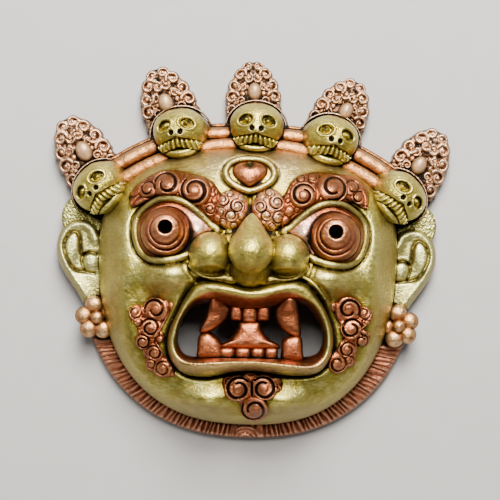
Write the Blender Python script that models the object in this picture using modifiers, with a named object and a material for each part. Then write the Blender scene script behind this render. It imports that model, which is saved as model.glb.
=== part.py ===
"""Wall mask of a wrathful guardian, cast in resin as one piece.

The mask lies on its flat back: X to the viewer's right, Y towards the crown, Z out of the face.
Its forms are laid on as closed solids that overlap, as a sculptor lays clay over a block. They
are fused into one body, thinned to a light mesh, cut flat behind, hollowed, and pierced at the
mouth and the pupils. Lists of points are half outlines in millimetres, right of the middle line.
"""

import math

import bmesh
import bpy
from mathutils import Matrix, Vector

MM = 0.001

# Face block, a squared dome
FACE_HALF_WIDTH = 78.0 * MM
FACE_RISE = 60.0 * MM           # nose to the top of the forehead
FACE_DROP = 92.0 * MM           # nose to the underside of the chin
FACE_SQUARENESS = 2.42          # 2 is an ellipse seen from the front, more is squarer
FACE_EDGE_Z = 13.0 * MM         # where the cheeks meet the ears and the beard
FACE_TOP_Z = 47.0 * MM          # middle of the dome, without nose and cheeks
FACE_FULLNESS = 2.6             # 2 is an ellipse seen from the side, more is fuller

# Soft swellings of the face block: place x and y, spread x and y, height
SWELLINGS = {
    "cheek": (41.0 * MM, -13.0 * MM, 19.0 * MM, 13.0 * MM, 8.0 * MM),
    "jowl": (60.0 * MM, -42.0 * MM, 10.0 * MM, 24.0 * MM, 2.5 * MM),
    "chin": (21.0 * MM, -78.0 * MM, 20.0 * MM, 9.0 * MM, 9.0 * MM),
    "brow ridge": (34.0 * MM, 29.0 * MM, 22.0 * MM, 10.0 * MM, 5.0 * MM),
    "temple": (63.0 * MM, 8.0 * MM, 9.0 * MM, 18.0 * MM, 2.5 * MM),
}

# Beard rim, a low band of combed locks from ear flower to ear flower
RIM_HALF_WIDTH = 91.0 * MM      # of the rim's curve at nose height
RIM_DROP = 100.0 * MM           # nose to the lowest lock
RIM_SQUARENESS = 2.3
RIM_THICKNESS = 7.0 * MM
LOCKS = 41
LOCK_START = 26.0               # degrees from the nose's level down to the first lock
LOCK_RADIUS = 2.7 * MM

# Hollow back, and the notch in its top edge that hangs on a nail
WALL = 6.5 * MM
NOTCH_WIDTH = 16.0 * MM
NOTCH_RISE = 4.0 * MM           # above the hollow's top edge
NOTCH_DEPTH = 7.0 * MM

# Eyes
EYE_X, EYE_Y = 42.8 * MM, 9.8 * MM
EYEBALL_RADIUS = 13.0 * MM
EYEBALL_FRONT_Z = 59.0 * MM
IRIS_RADIUS = 9.0 * MM
IRIS_ROLL = 1.3 * MM
PUPIL_DIAMETER = 7.4 * MM
EYE_CORNER_RADII = (10.0 * MM, 7.5 * MM, 4.0 * MM)
LID_ROLL = 1.9 * MM
LID_POINTS = [
    (58.6, 10.0), (56.3, 0.0), (48.0, -5.2), (38.0, -5.0), (27.5, -0.5), (17.5, 8.3),
    (25.0, 17.5), (35.6, 24.2), (46.2, 24.2), (55.3, 18.2),
]

# Third eye, above the brows
THIRD_EYE_Y = 38.5 * MM
THIRD_EYE_RADII = (8.4 * MM, 7.6 * MM, 6.5 * MM)
THIRD_EYE_RIM = 2.0 * MM
THIRD_EYE_POINTS = [(0.0, 27.5), (8.5, 31.5), (12.5, 38.5), (8.0, 45.0), (0.0, 46.6)]

# Nose
NOSE_TIP_Z = 74.0 * MM
NOSE_TIP_Y = 1.0 * MM
NOSE_RADII = (10.9 * MM, 12.8 * MM, 17.0 * MM)
BRIDGE_TOP_Y = 17.0 * MM
BRIDGE_RADIUS = 7.0 * MM
WING_X, WING_Y, WING_Z = 19.4 * MM, -2.4 * MM, 63.0 * MM
WING_RADII = (9.8 * MM, 10.2 * MM, 12.0 * MM)
WING_ROOT_RADII = (10.0 * MM, 8.0 * MM, 8.0 * MM)
WING_ROOT_DROP = 4.0 * MM

# Mouth: a rolled lip round an opening with teeth, fangs and tongue
LIP_ROLL = 3.9 * MM
LIP_Z = 53.0 * MM               # middle of the roll under the nose
LIP_CORNER_Z = 43.0 * MM
LIP_POINTS = [
    (0.0, -20.4), (11.0, -19.2), (21.5, -17.8), (30.3, -22.4), (37.0, -31.0), (39.6, -41.5),
    (38.2, -52.0), (32.0, -58.8), (18.0, -61.0), (0.0, -60.2),
]
GUM_POINTS = [                  # the hole between the gums, wider at the sides
    (0.0, -30.4), (15.0, -30.0), (24.0, -27.6), (31.0, -28.6), (35.6, -34.0), (37.4, -41.0),
    (36.4, -48.0), (32.0, -53.4), (24.0, -55.4), (0.0, -56.2),
]
TEETH_FRONT_Z = 46.0 * MM
TEETH_DEPTH = 11.0 * MM
TOOTH_ROUNDING = 1.4 * MM
UPPER_TEETH, UPPER_TOOTH_WIDTH, UPPER_TEETH_Y = 3, 6.0 * MM, (-37.0 * MM, -28.0 * MM)
LOWER_TEETH, LOWER_TOOTH_WIDTH, LOWER_TEETH_Y = 4, 7.4 * MM, (-59.0 * MM, -50.2 * MM)
TONGUE_Y = (-55.0 * MM, -35.0 * MM)
TONGUE_HALF_WIDTHS = (17.0 * MM, 4.7 * MM)
TONGUE_DEPTH = 9.0 * MM
FANG_JOIN = (25.0 * MM, -43.2 * MM)
UPPER_FANG_TOP, UPPER_FANG_WIDTH = (18.6 * MM, -26.0 * MM), 10.5 * MM
LOWER_FANG_BASE, LOWER_FANG_WIDTH = (21.0 * MM, -55.5 * MM), 11.5 * MM

# Brows: scrolled bands that end in a round knob under the third eye
BROW_POINTS = [
    (10.5, 20.6), (20.0, 25.6), (28.6, 30.0), (37.0, 32.0), (45.7, 31.6), (54.0, 27.8), (61.5, 20.5),
]
BROW_WIDTHS = [1.0, 0.8, 1.0, 1.05, 1.05, 0.8, 0.45]
BROW_HALF_WIDTH = 7.2 * MM
BROW_KNOB_RADII = (8.3 * MM, 8.3 * MM, 7.5 * MM)
BROW_CURLS = [(10.5, 20.4, 5.6), (29.0, 30.0, 6.2), (43.8, 32.2, 5.8), (54.5, 27.0, 4.0)]

# Curled tufts beside the mouth and under the lip: place x and y, radius
CHEEK_CURLS = [
    (50.5, -30.5, 6.2), (52.8, -40.6, 5.4), (52.0, -50.6, 5.4), (46.5, -60.6, 5.2), (42.5, -31.5, 3.6),
]
CHIN_CURLS = [
    (6.6, -69.6, 6.2), (-6.6, -69.6, 6.2), (0.8, -82.4, 6.0), (13.2, -68.0, 3.2), (-13.2, -68.0, 3.2),
]
CURL_LIFT = 2.0 * MM
CURL_ROLL = 1.45 * MM

# Crown: two rolls round the forehead, skulls on them, and a leaf behind each skull
CROWN_CENTRE_Y = -63.0 * MM
CROWN_RADIUS = 127.2 * MM       # to the middle of the outer roll
CROWN_HALF_ANGLE = 37.5
CROWN_ROLL = 3.9 * MM
CROWN_ROLL_STEP = 7.4 * MM      # from roll to roll
CROWN_ROLL_HEIGHTS = (15.0 * MM, 20.0 * MM)
SKULL_ANGLES = (0.0, 17.7, 40.5)
SKULL_INSETS = (-0.6 * MM, -0.2 * MM, 5.0 * MM)     # from the outer roll's middle inwards
SKULL_TURNS = (0.0, -15.0, -44.0)
SKULL_LEANS = (0.0, 10.0, 16.0)
SKULL_Z = 23.5 * MM
SKULL_RADII = (13.6 * MM, 10.6 * MM, 11.5 * MM)
SOCKET_RADII = (3.6 * MM, 2.8 * MM, 3.4 * MM)
SOCKET_X, SOCKET_Y = 5.9 * MM, 1.2 * MM
SKULL_SNOUT_Y, SKULL_SNOUT_RADII = -6.0 * MM, (9.5 * MM, 5.6 * MM, 6.4 * MM)
SKULL_JAW_Y, SKULL_JAW_RADII = -11.0 * MM, (9.5 * MM, 4.6 * MM, 6.0 * MM)
SKULL_TEETH = 9
SKULL_TEETH_Y, SKULL_TEETH_ARCH = -8.8 * MM, 1.6 * MM
SKULL_TOOTH_RADII = (1.7 * MM, 3.2 * MM, 2.2 * MM)
LEAF_TURNS = (0.0, -25.5, -27.5)
LEAF_REACHES = (35.4 * MM, 37.8 * MM, 41.6 * MM)    # from the skull's middle to the tip
LEAF_SHOULDERS = (15.4 * MM, 17.0 * MM, 19.0 * MM)  # to where the tip starts to narrow
LEAF_POINTS = (0.75, 0.60, 0.46)                    # 0.5 is an elliptical tip, more is sharper
LEAF_BASE = 8.0 * MM            # from the skull's middle down to the leaf's foot
LEAF_WIDTH = 30.0 * MM
LEAF_THICKNESS = 7.5 * MM
LEAF_DOME = 2.2 * MM
LEAF_ROUNDING = 1.0 * MM
LEAF_CURL_ROLL = 1.1 * MM
LEAF_CURLS = [(9.8, 12.0, 4.3), (9.4, 20.8, 4.2), (4.9, 28.0, 3.9)]    # across, rise, radius
LEAF_TIP_RADII = (2.2 * MM, 2.8 * MM, 2.0 * MM)
STONE_RADII = (3.7 * MM, 4.8 * MM, 3.2 * MM)
STONE_RISE = 19.4 * MM          # above the skull's middle

# Ears, and the flower on each lobe
EAR_X, EAR_Y = 85.5 * MM, -1.0 * MM
EAR_RADII = (14.5 * MM, 22.0 * MM, 9.0 * MM)
EAR_THICKNESS = 7.0 * MM
HELIX_ROLL = 3.1 * MM
HELIX_Z = 13.0 * MM
HELIX_POINTS = [
    (81.5, -1.0), (82.5, 6.5), (87.0, 12.0), (92.8, 11.0), (97.0, 4.6), (97.4, -4.0), (93.8, -13.0),
    (88.0, -21.5), (83.0, -29.0),
]
TRAGUS, TRAGUS_RADII = (82.5 * MM, -8.5 * MM, 12.0 * MM), (3.2 * MM, 5.2 * MM, 3.5 * MM)
INNER_FOLD, INNER_FOLD_RADII = (90.0 * MM, -1.0 * MM, 11.0 * MM), (3.8 * MM, 8.0 * MM, 3.5 * MM)
TEMPLE_PLATE, TEMPLE_PLATE_RADII = (87.0 * MM, 14.5 * MM, 0.0), (11.0 * MM, 11.0 * MM, 9.8 * MM)
FLOWER_X, FLOWER_Y, FLOWER_Z = 79.4 * MM, -37.6 * MM, 17.0 * MM
PETALS = 5
PETAL_RADIUS = 4.0 * MM
PETAL_RING = 7.2 * MM
PETAL_SINK = 1.5 * MM

# Mesh of the fused casting
VOXEL = 0.9 * MM
FUSED_TRIANGLES = 8800
BELOW_BACK = 3.0 * MM           # the solids reach this far under the back before it is cut flat

ANTIQUE_GOLD = (0.45, 0.40, 0.13, 1.0)


def squared_reach(x, y, half_width, height, squareness):
    """How far out a point lies in a squared ellipse: 0 at the middle, 1 on its edge."""
    return (abs(x / half_width) ** squareness + abs(y / height) ** squareness) ** (1 / squareness)


def face_reach(x, y, inset=0.0):
    rise = FACE_RISE if y > 0 else FACE_DROP
    return squared_reach(x, y, FACE_HALF_WIDTH - inset, rise - inset, FACE_SQUARENESS)


def dome_share(reach):
    """Height of the dome over its edge, as a share, at a reach from 0 in the middle to 1."""
    return math.sqrt(1 - min(reach, 1.0) ** FACE_FULLNESS)


def face_height(x, y):
    """Front of the face block: a squared dome with the soft swellings on both sides."""
    dome = dome_share(face_reach(x, y))
    z = FACE_EDGE_Z + (FACE_TOP_Z - FACE_EDGE_Z) * dome
    fade = min(1.0, dome * 1.6)
    for place_x, place_y, spread_x, spread_y, height in SWELLINGS.values():
        away = ((abs(x) - place_x) / spread_x) ** 2 + ((y - place_y) / spread_y) ** 2
        z += fade * height * math.exp(-away)
    return z


def in_metres(points):
    return [(x * MM, y * MM) for x, y in points]


def both_halves(points):
    """A closed outline from its right half, whose first and last points lie on the middle line."""
    return points + [(-x, y) for x, y in reversed(points[1:-1])]


def turned(degrees):
    return Matrix.Rotation(math.radians(degrees), 4, "Z")


def as_mesh(name, mesh_builder):
    """A mesh with its faces sorted, because a sphere's faces come in another order on each run."""
    mesh_builder.verts.index_update()
    places = [vertex.co[:] for vertex in mesh_builder.verts]
    faces = []
    for face in mesh_builder.faces:
        ring = [vertex.index for vertex in face.verts]
        first = ring.index(min(ring))
        faces.append(ring[first:] + ring[:first])
    mesh_builder.free()
    mesh = bpy.data.meshes.new(name)
    mesh.from_pydata(places, [], sorted(faces))
    return mesh


def make_object(name, mesh_builder, collection):
    made = bpy.data.objects.new(name, as_mesh(name, mesh_builder))
    collection.objects.link(made)
    return made


def taken_as_mesh(made):
    """The object's evaluated mesh with loose caps welded, in a mesh builder. The object is removed."""
    bpy.context.view_layer.update()
    graph = bpy.context.evaluated_depsgraph_get()
    mesh = bpy.data.meshes.new_from_object(made.evaluated_get(graph))
    mesh.transform(made.matrix_world)
    built = bmesh.new()
    built.from_mesh(mesh)
    bmesh.ops.remove_doubles(built, verts=built.verts, dist=0.00001)
    bpy.data.objects.remove(made)
    return built


def cut_with(target, cutter):
    cutter.hide_render = True
    cutter.display_type = "WIRE"
    cut = target.modifiers.new(cutter.name, "BOOLEAN")
    cut.operation, cut.solver, cut.object = "DIFFERENCE", "EXACT", cutter


class Clay:
    """Gathers closed solids that overlap, to be fused into one casting."""

    def __init__(self, collection):
        self.collection = collection
        self.mesh = bmesh.new()

    def add(self, piece):
        data = as_mesh("piece", piece)
        self.mesh.from_mesh(data)
        bpy.data.meshes.remove(data)

    def ellipsoid(self, centre, radii, turn=None, rings=12):
        piece = bmesh.new()
        bmesh.ops.create_uvsphere(piece, u_segments=2 * rings, v_segments=rings, radius=1.0)
        place = Matrix.Translation(centre) @ (turn or Matrix.Identity(4)) @ Matrix.Diagonal((*radii, 1.0))
        bmesh.ops.transform(piece, matrix=place, verts=piece.verts)
        self.add(piece)

    def block(self, centre, size, rounding):
        piece = bmesh.new()
        bmesh.ops.create_cube(piece, size=1.0)
        bmesh.ops.transform(piece, matrix=Matrix.Diagonal((*size, 1.0)), verts=piece.verts)
        bmesh.ops.bevel(piece, geom=piece.edges[:], offset=min(rounding, min(size) * 0.45), segments=2,
                        profile=0.5, affect="EDGES")
        bmesh.ops.translate(piece, vec=centre, verts=piece.verts)
        self.add(piece)

    def roll(self, points, radius, widths=None, closed=False):
        """A round roll through the points. widths scales its radius at each point."""
        curve = bpy.data.curves.new("roll", "CURVE")
        curve.dimensions = "3D"
        curve.bevel_depth = radius
        curve.bevel_resolution = 3
        curve.use_fill_caps = True
        curve.resolution_u = 4
        spline = curve.splines.new("BEZIER")
        spline.bezier_points.add(len(points) - 1)
        for index, (knot, point) in enumerate(zip(spline.bezier_points, points)):
            knot.co = point
            knot.handle_left_type = knot.handle_right_type = "AUTO"
            knot.radius = widths[index] if widths else 1.0
        spline.use_cyclic_u = closed
        made = bpy.data.objects.new("roll", curve)
        self.collection.objects.link(made)
        self.add(taken_as_mesh(made))

    def slab(self, outline, low, high, place=None, rounding=0.0):
        """A flat plate between two heights."""
        curve = bpy.data.curves.new("slab", "CURVE")
        curve.dimensions = "2D"
        curve.fill_mode = "BOTH"
        curve.extrude = (high - low) / 2 - rounding
        curve.bevel_depth = rounding
        curve.bevel_resolution = 1
        curve.offset = -rounding
        spline = curve.splines.new("POLY")
        spline.points.add(len(outline) - 1)
        for knot, (x, y) in zip(spline.points, outline):
            knot.co = (x, y, 0.0, 1.0)
        spline.use_cyclic_u = True
        made = bpy.data.objects.new("slab", curve)
        self.collection.objects.link(made)
        made.matrix_world = (place or Matrix.Identity(4)) @ Matrix.Translation((0.0, 0.0, (low + high) / 2))
        self.add(taken_as_mesh(made))

    def curl(self, x, y, z, radius, hand, roll=CURL_ROLL, turns=1.3):
        """A snail curl: a low dome, a roll that winds in over it, and a ball at its heart."""
        self.ellipsoid((x, y, z), (radius, radius, CURL_LIFT), rings=8)
        steps = 12
        shares = [step / (steps - 1) for step in range(steps)]
        path = []
        for share in shares:
            angle = hand * share * turns * math.tau
            reach = (radius - roll * 0.5) * (1 - 0.7 * share)
            path.append((x + reach * math.cos(angle), y + reach * math.sin(angle), z + CURL_LIFT * 0.6))
        self.roll(path, roll, widths=[1.0 - 0.35 * share for share in shares])
        self.ellipsoid((x, y, z + CURL_LIFT * 0.8), (roll * 1.2,) * 3, rings=6)


def face_block(clay):
    """A sphere whose upper half takes the face's heights and whose lower half lies under the back."""
    piece = bmesh.new()
    bmesh.ops.create_uvsphere(piece, u_segments=96, v_segments=56, radius=1.0)
    for vertex in piece.verts:
        x, y, z = vertex.co
        reach = math.hypot(x, y)
        stretch = reach / face_reach(x, y) if reach > 1e-6 else 0.0
        flat_x, flat_y = x * stretch, y * stretch
        vertex.co = (flat_x, flat_y, face_height(flat_x, flat_y) if z > -0.01 else -BELOW_BACK)
    clay.add(piece)


def lip_height(x):
    """The lip roll bends back from the middle of the mouth to its corners."""
    corner_x = max(x for x, _ in in_metres(LIP_POINTS))
    return LIP_Z - (LIP_Z - LIP_CORNER_Z) * min(abs(x) / corner_x, 1.0) ** 2


def lip_outline():
    return both_halves(in_metres(LIP_POINTS))


def mouth_tunnel(collection):
    """What the mouth takes out of the face block before teeth and tongue are laid in."""
    cutter = Clay(collection)
    cutter.slab(both_halves(in_metres(GUM_POINTS)), -2 * BELOW_BACK, NOSE_TIP_Z)
    return make_object("mouth_tunnel", cutter.mesh, collection)


def pierced_face(clay, collection, cutters):
    block = Clay(collection)
    face_block(block)
    made = make_object("face_block", block.mesh, collection)
    cut_with(made, mouth_tunnel(cutters))
    clay.add(taken_as_mesh(made))


def beard_rim(clay):
    """A low rim with combed locks that run out from the cheeks over it."""
    steps = 64
    outline = []
    for step in range(steps + 1):
        angle = -math.pi * step / steps
        across, down = math.cos(angle), math.sin(angle)
        out = 1 / squared_reach(across, down, RIM_HALF_WIDTH, RIM_DROP, RIM_SQUARENESS)
        outline.append((across * out, min(down * out, FLOWER_Y)))
    clay.slab(outline, -BELOW_BACK, RIM_THICKNESS)
    for lock in range(LOCKS):
        angle = -math.radians(LOCK_START + (180 - 2 * LOCK_START) * lock / (LOCKS - 1))
        across, down = math.cos(angle), math.sin(angle)
        out = 0.985 / squared_reach(across, down, RIM_HALF_WIDTH, RIM_DROP, RIM_SQUARENESS)
        root = 0.97 / face_reach(across, down)
        clay.roll(
            [
                (across * root, down * root, FACE_EDGE_Z + 0.4 * LOCK_RADIUS),
                (across * (root + out) / 2, down * (root + out) / 2, RIM_THICKNESS + 0.8 * LOCK_RADIUS),
                (across * out, down * out, RIM_THICKNESS - 0.5 * LOCK_RADIUS),
            ],
            LOCK_RADIUS, widths=[0.9, 1.0, 0.8],
        )


def eye(clay, side):
    middle = (side * EYE_X, EYE_Y, EYEBALL_FRONT_Z - EYEBALL_RADIUS)
    clay.ellipsoid(middle, (EYEBALL_RADIUS,) * 3, rings=16)
    inner_x = EYE_X - EYEBALL_RADIUS
    inner_corner = (side * inner_x, EYE_Y, face_height(inner_x, EYE_Y))
    clay.ellipsoid(inner_corner, EYE_CORNER_RADII)
    ring_z = middle[2] + math.sqrt(EYEBALL_RADIUS ** 2 - IRIS_RADIUS ** 2)
    turns = [math.tau * step / 12 for step in range(12)]
    ring = [(middle[0] + IRIS_RADIUS * math.cos(a), EYE_Y + IRIS_RADIUS * math.sin(a), ring_z) for a in turns]
    clay.roll(ring, IRIS_ROLL, closed=True)
    lids = [(side * x, y, face_height(x, y) + 0.9 * LID_ROLL) for x, y in in_metres(LID_POINTS)]
    clay.roll(lids, LID_ROLL, closed=True)


def third_eye(clay):
    clay.ellipsoid((0.0, THIRD_EYE_Y, face_height(0.0, THIRD_EYE_Y)), THIRD_EYE_RADII)
    outline = both_halves(in_metres(THIRD_EYE_POINTS))
    rim = [(x, y, face_height(x, y) + 0.7 * THIRD_EYE_RIM) for x, y in outline]
    clay.roll(rim, THIRD_EYE_RIM, closed=True)


def nose(clay):
    tip = (0.0, NOSE_TIP_Y, NOSE_TIP_Z - NOSE_RADII[2])
    clay.ellipsoid(tip, NOSE_RADII, rings=16)
    brow_z = face_height(0.0, BRIDGE_TOP_Y)
    middle = (0.0, (NOSE_TIP_Y + BRIDGE_TOP_Y) / 2, (tip[2] + brow_z) / 2)
    root = (0.0, BRIDGE_TOP_Y, brow_z - 0.3 * BRIDGE_RADIUS)
    clay.roll([root, middle, tip], BRIDGE_RADIUS, widths=[0.7, 0.95, 1.2])
    for side in (-1, 1):
        wing = Vector((side * WING_X, WING_Y, WING_Z - WING_RADII[2]))
        clay.ellipsoid(wing, WING_RADII, rings=14)
        clay.ellipsoid((wing + Vector(tip)) / 2 - Vector((0.0, WING_ROOT_DROP, 0.0)), WING_ROOT_RADII)


def lips(clay):
    front = [(x, y, lip_height(x)) for x, y in lip_outline()]
    clay.roll(front, LIP_ROLL, closed=True)
    clay.roll([(x, y, z - 1.6 * LIP_ROLL) for x, y, z in front], 1.15 * LIP_ROLL, closed=True)


def tooth_row(clay, count, width, y_range):
    low, high = y_range
    size = (width * 1.04, high - low, TEETH_DEPTH)
    for index in range(count):
        x = (index - (count - 1) / 2) * width
        clay.block((x, (low + high) / 2, TEETH_FRONT_Z - TEETH_DEPTH / 2), size, TOOTH_ROUNDING)


def fang(clay, side, gum, width):
    """A canine: a tapered roll from its gum to just past where it meets its partner."""
    z = TEETH_FRONT_Z - TEETH_DEPTH / 2
    start = Vector((side * gum[0], gum[1], z))
    join = Vector((side * FANG_JOIN[0], FANG_JOIN[1], z))
    clay.roll([start, (start + join) / 2, join + (join - start) * 0.08], width / 2, widths=[1.0, 0.82, 0.42])


def tongue(clay):
    low, high = TONGUE_Y
    wide, narrow = TONGUE_HALF_WIDTHS
    steps = 8
    shares = [step / steps for step in range(steps + 1)]
    side = [(narrow + (wide - narrow) * (1 - share) ** 1.7, low + (high - low) * share) for share in shares]
    outline = side + [(-x, y) for x, y in reversed(side)]
    back = TEETH_FRONT_Z - TEETH_DEPTH
    clay.slab(outline, back, back + TONGUE_DEPTH, rounding=0.22 * TONGUE_DEPTH)


def mouth(clay):
    lips(clay)
    tooth_row(clay, UPPER_TEETH, UPPER_TOOTH_WIDTH, UPPER_TEETH_Y)
    tooth_row(clay, LOWER_TEETH, LOWER_TOOTH_WIDTH, LOWER_TEETH_Y)
    tongue(clay)
    for side in (-1, 1):
        fang(clay, side, UPPER_FANG_TOP, UPPER_FANG_WIDTH)
        fang(clay, side, LOWER_FANG_BASE, LOWER_FANG_WIDTH)


def brow(clay, side):
    path = in_metres(BROW_POINTS)
    band = [(side * x, y, face_height(x, y) - 0.15 * BROW_HALF_WIDTH) for x, y in path]
    clay.roll(band, BROW_HALF_WIDTH, widths=BROW_WIDTHS)
    knob_x, knob_y = path[0]
    clay.ellipsoid((side * knob_x, knob_y, face_height(knob_x, knob_y)), BROW_KNOB_RADII)
    for x, y, radius in BROW_CURLS:
        crest = face_height(x * MM, y * MM) + 0.72 * BROW_HALF_WIDTH
        clay.curl(side * x * MM, y * MM, crest, radius * MM, hand=side)


def tufts(clay):
    for x, y, radius in CHEEK_CURLS:
        for side in (-1, 1):
            clay.curl(side * x * MM, y * MM, face_height(x * MM, y * MM), radius * MM, hand=-side)
    for x, y, radius in CHIN_CURLS:
        clay.curl(x * MM, y * MM, face_height(x * MM, y * MM), radius * MM, hand=1 if x > 0 else -1)


def on_crown(angle, inset):
    """A place on the crown's arc, its angle in degrees from the middle line."""
    reach = CROWN_RADIUS - inset
    return reach * math.sin(math.radians(angle)), CROWN_CENTRE_Y + reach * math.cos(math.radians(angle))


def crown_rolls(clay):
    """Two rolls over the forehead, on plates that reach down to the back."""
    steps = 12
    angles = [CROWN_HALF_ANGLE * (2 * step / steps - 1) for step in range(steps + 1)]
    for index, z in enumerate(CROWN_ROLL_HEIGHTS):
        inset = index * CROWN_ROLL_STEP
        clay.roll([(*on_crown(angle, inset), z) for angle in angles], CROWN_ROLL)
        arc = [on_crown(angle, inset - 0.92 * CROWN_ROLL) for angle in angles]
        foot_y = FACE_RISE / 3
        clay.slab(arc + [(arc[-1][0], foot_y), (arc[0][0], foot_y)], -BELOW_BACK, z)


def skull(clay, collection, frame):
    """A small skull: a domed head with sunken sockets over an arched row of teeth."""
    front = SKULL_RADII[2]
    head = Clay(collection)
    head.ellipsoid((0.0, 0.0, 0.0), SKULL_RADII, rings=16)
    sockets = Clay(collection)
    for side in (-1, 1):
        sockets.ellipsoid((side * SOCKET_X, SOCKET_Y, front * 0.93), SOCKET_RADII, turned(-30.0 * side))
    cranium = make_object("skull_head", head.mesh, collection)
    cutter = make_object("skull_sockets", sockets.mesh, collection)
    cut_with(cranium, cutter)
    hollowed = taken_as_mesh(cranium)
    bpy.data.objects.remove(cutter)
    bmesh.ops.transform(hollowed, matrix=frame, verts=hollowed.verts)
    clay.add(hollowed)
    turn = frame.to_3x3().to_4x4()
    clay.ellipsoid(frame @ Vector((0.0, SKULL_SNOUT_Y, front * 0.42)), SKULL_SNOUT_RADII, turn)
    clay.ellipsoid(frame @ Vector((0.0, SKULL_JAW_Y, 0.0)), SKULL_JAW_RADII, turn)
    for tooth in range(SKULL_TEETH):
        share = 2 * tooth / (SKULL_TEETH - 1) - 1
        y = SKULL_TEETH_Y - SKULL_TEETH_ARCH * abs(share)
        place = (share * SKULL_RADII[0] * 0.82, y, front * 0.78 * math.cos(share * 1.05))
        clay.ellipsoid(frame @ Vector(place), SKULL_TOOTH_RADII, turn, rings=6)


def leaf_outline(reach, shoulder, point):
    """Straight sides from the foot to the shoulder, then an arch that narrows to the tip."""
    steps = 12
    arch = []
    for step in range(steps + 1):
        share = step / steps
        arch.append((LEAF_WIDTH / 2 * (1 - share ** 2) ** point, shoulder + (reach - shoulder) * share))
    side = [(LEAF_WIDTH * 0.45, -LEAF_BASE)] + arch
    return side + [(-x, y) for x, y in reversed(side[:-1])]


def leaf(clay, place, size):
    """A leaf that stands behind its skull, slightly domed, with curls round an oval stone."""
    degrees, reach, shoulder, point = size
    turn = turned(degrees)
    frame = Matrix.Translation((*place, 0.0)) @ turn
    outline = leaf_outline(reach, shoulder, point)
    clay.slab(outline, -BELOW_BACK, LEAF_THICKNESS, place=frame, rounding=LEAF_ROUNDING)
    middle = frame @ Vector((0.0, shoulder, LEAF_THICKNESS - 0.5 * LEAF_ROUNDING))
    clay.ellipsoid(middle, (LEAF_WIDTH * 0.42, (reach - shoulder) * 0.8, LEAF_DOME), turn)
    for across, rise, radius in LEAF_CURLS:
        for side in (-1, 1):
            spot = frame @ Vector((side * across * MM, rise * MM, LEAF_THICKNESS + 0.4 * LEAF_DOME))
            clay.curl(*spot, radius * MM, hand=side, roll=LEAF_CURL_ROLL, turns=1.1)
    tip = frame @ Vector((0.0, reach - 1.3 * LEAF_TIP_RADII[1], LEAF_THICKNESS))
    clay.ellipsoid(tip, LEAF_TIP_RADII, turn, rings=6)
    stone = frame @ Vector((0.0, STONE_RISE, LEAF_THICKNESS + 0.6 * LEAF_DOME))
    clay.ellipsoid(stone, STONE_RADII, turn)


def crown(clay, collection):
    crown_rolls(clay)
    skulls = zip(SKULL_ANGLES, SKULL_INSETS, SKULL_TURNS, SKULL_LEANS)
    leaves = zip(LEAF_TURNS, LEAF_REACHES, LEAF_SHOULDERS, LEAF_POINTS)
    for (angle, inset, skull_turn, lean), (leaf_turn, *leaf_size) in zip(skulls, leaves):
        for side in ((1,) if angle == 0 else (-1, 1)):
            x, y = on_crown(side * angle, inset)
            leaf(clay, (x, y), (side * leaf_turn, *leaf_size))
            clay.roll([(x, y, -BELOW_BACK), (x, y, SKULL_Z)], SKULL_RADII[1] * 0.85)
            aside = Matrix.Rotation(math.radians(side * lean), 4, "Y")
            back = Matrix.Rotation(-math.radians(lean / 2), 4, "X")
            place = Matrix.Translation((x, y, SKULL_Z))
            skull(clay, collection, place @ turned(side * skull_turn) @ aside @ back)


def ear(clay, side):
    clay.ellipsoid((side * EAR_X, EAR_Y, EAR_THICKNESS / 2), EAR_RADII, rings=14)
    turns = [math.tau * step / 24 for step in range(24)]
    half_width, half_height = 0.9 * EAR_RADII[0], 0.9 * EAR_RADII[1]
    plate = [(side * (EAR_X + half_width * math.cos(a)), EAR_Y + half_height * math.sin(a)) for a in turns]
    clay.slab(plate, -BELOW_BACK, EAR_THICKNESS)
    web_x = FACE_HALF_WIDTH * 0.8
    web = [(web_x, TEMPLE_PLATE[1]), (EAR_X, TEMPLE_PLATE[1]), (EAR_X, EAR_Y - 0.7 * EAR_RADII[1]),
           (FLOWER_X, FLOWER_Y), (web_x, FLOWER_Y)]
    clay.slab([(side * x, y) for x, y in web], -BELOW_BACK, EAR_THICKNESS)
    helix = [(side * x, y, HELIX_Z) for x, y in in_metres(HELIX_POINTS)]
    clay.roll(helix, HELIX_ROLL, widths=[0.8, 1.1, 1.2, 1.1, 1.1, 1.2, 1.4, 1.8, 1.4])
    forms = ((TEMPLE_PLATE, TEMPLE_PLATE_RADII, 0.0), (TRAGUS, TRAGUS_RADII, 0.0),
             (INNER_FOLD, INNER_FOLD_RADII, -14.0 * side))
    for (x, y, z), radii, degrees in forms:
        clay.ellipsoid((side * x, y, z), radii, turned(degrees))


def ear_flower(clay, side):
    """Round petals about a ball, on a stem that stands on the beard rim."""
    middle = Vector((side * FLOWER_X, FLOWER_Y, FLOWER_Z))
    clay.ellipsoid(middle, (PETAL_RADIUS,) * 3, rings=8)
    stem_top = FLOWER_Z - 0.5 * PETAL_RADIUS
    clay.roll([(middle.x, middle.y, -BELOW_BACK), (middle.x, middle.y, stem_top)], 0.95 * PETAL_RING)
    for petal in range(PETALS):
        angle = math.pi / 2 + math.tau * petal / PETALS
        out = Vector((PETAL_RING * math.cos(angle), PETAL_RING * math.sin(angle), -PETAL_SINK))
        clay.ellipsoid(middle + out, (PETAL_RADIUS,) * 3, rings=8)


def evaluated(made):
    bpy.context.view_layer.update()
    return made.evaluated_get(bpy.context.evaluated_depsgraph_get())


def fused(clay, collection):
    """One closed body from all the clay: a voxel remesh, thinned by edge collapse."""
    mask = make_object("mask", clay.mesh, collection)
    remesh = mask.modifiers.new("fuse", "REMESH")
    remesh.mode = "VOXEL"
    remesh.voxel_size = VOXEL
    remesh.use_smooth_shade = True
    quads = evaluated(mask).to_mesh()
    thin = mask.modifiers.new("thin", "DECIMATE")
    thin.ratio = FUSED_TRIANGLES / (2 * len(quads.polygons))
    return mask


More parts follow.
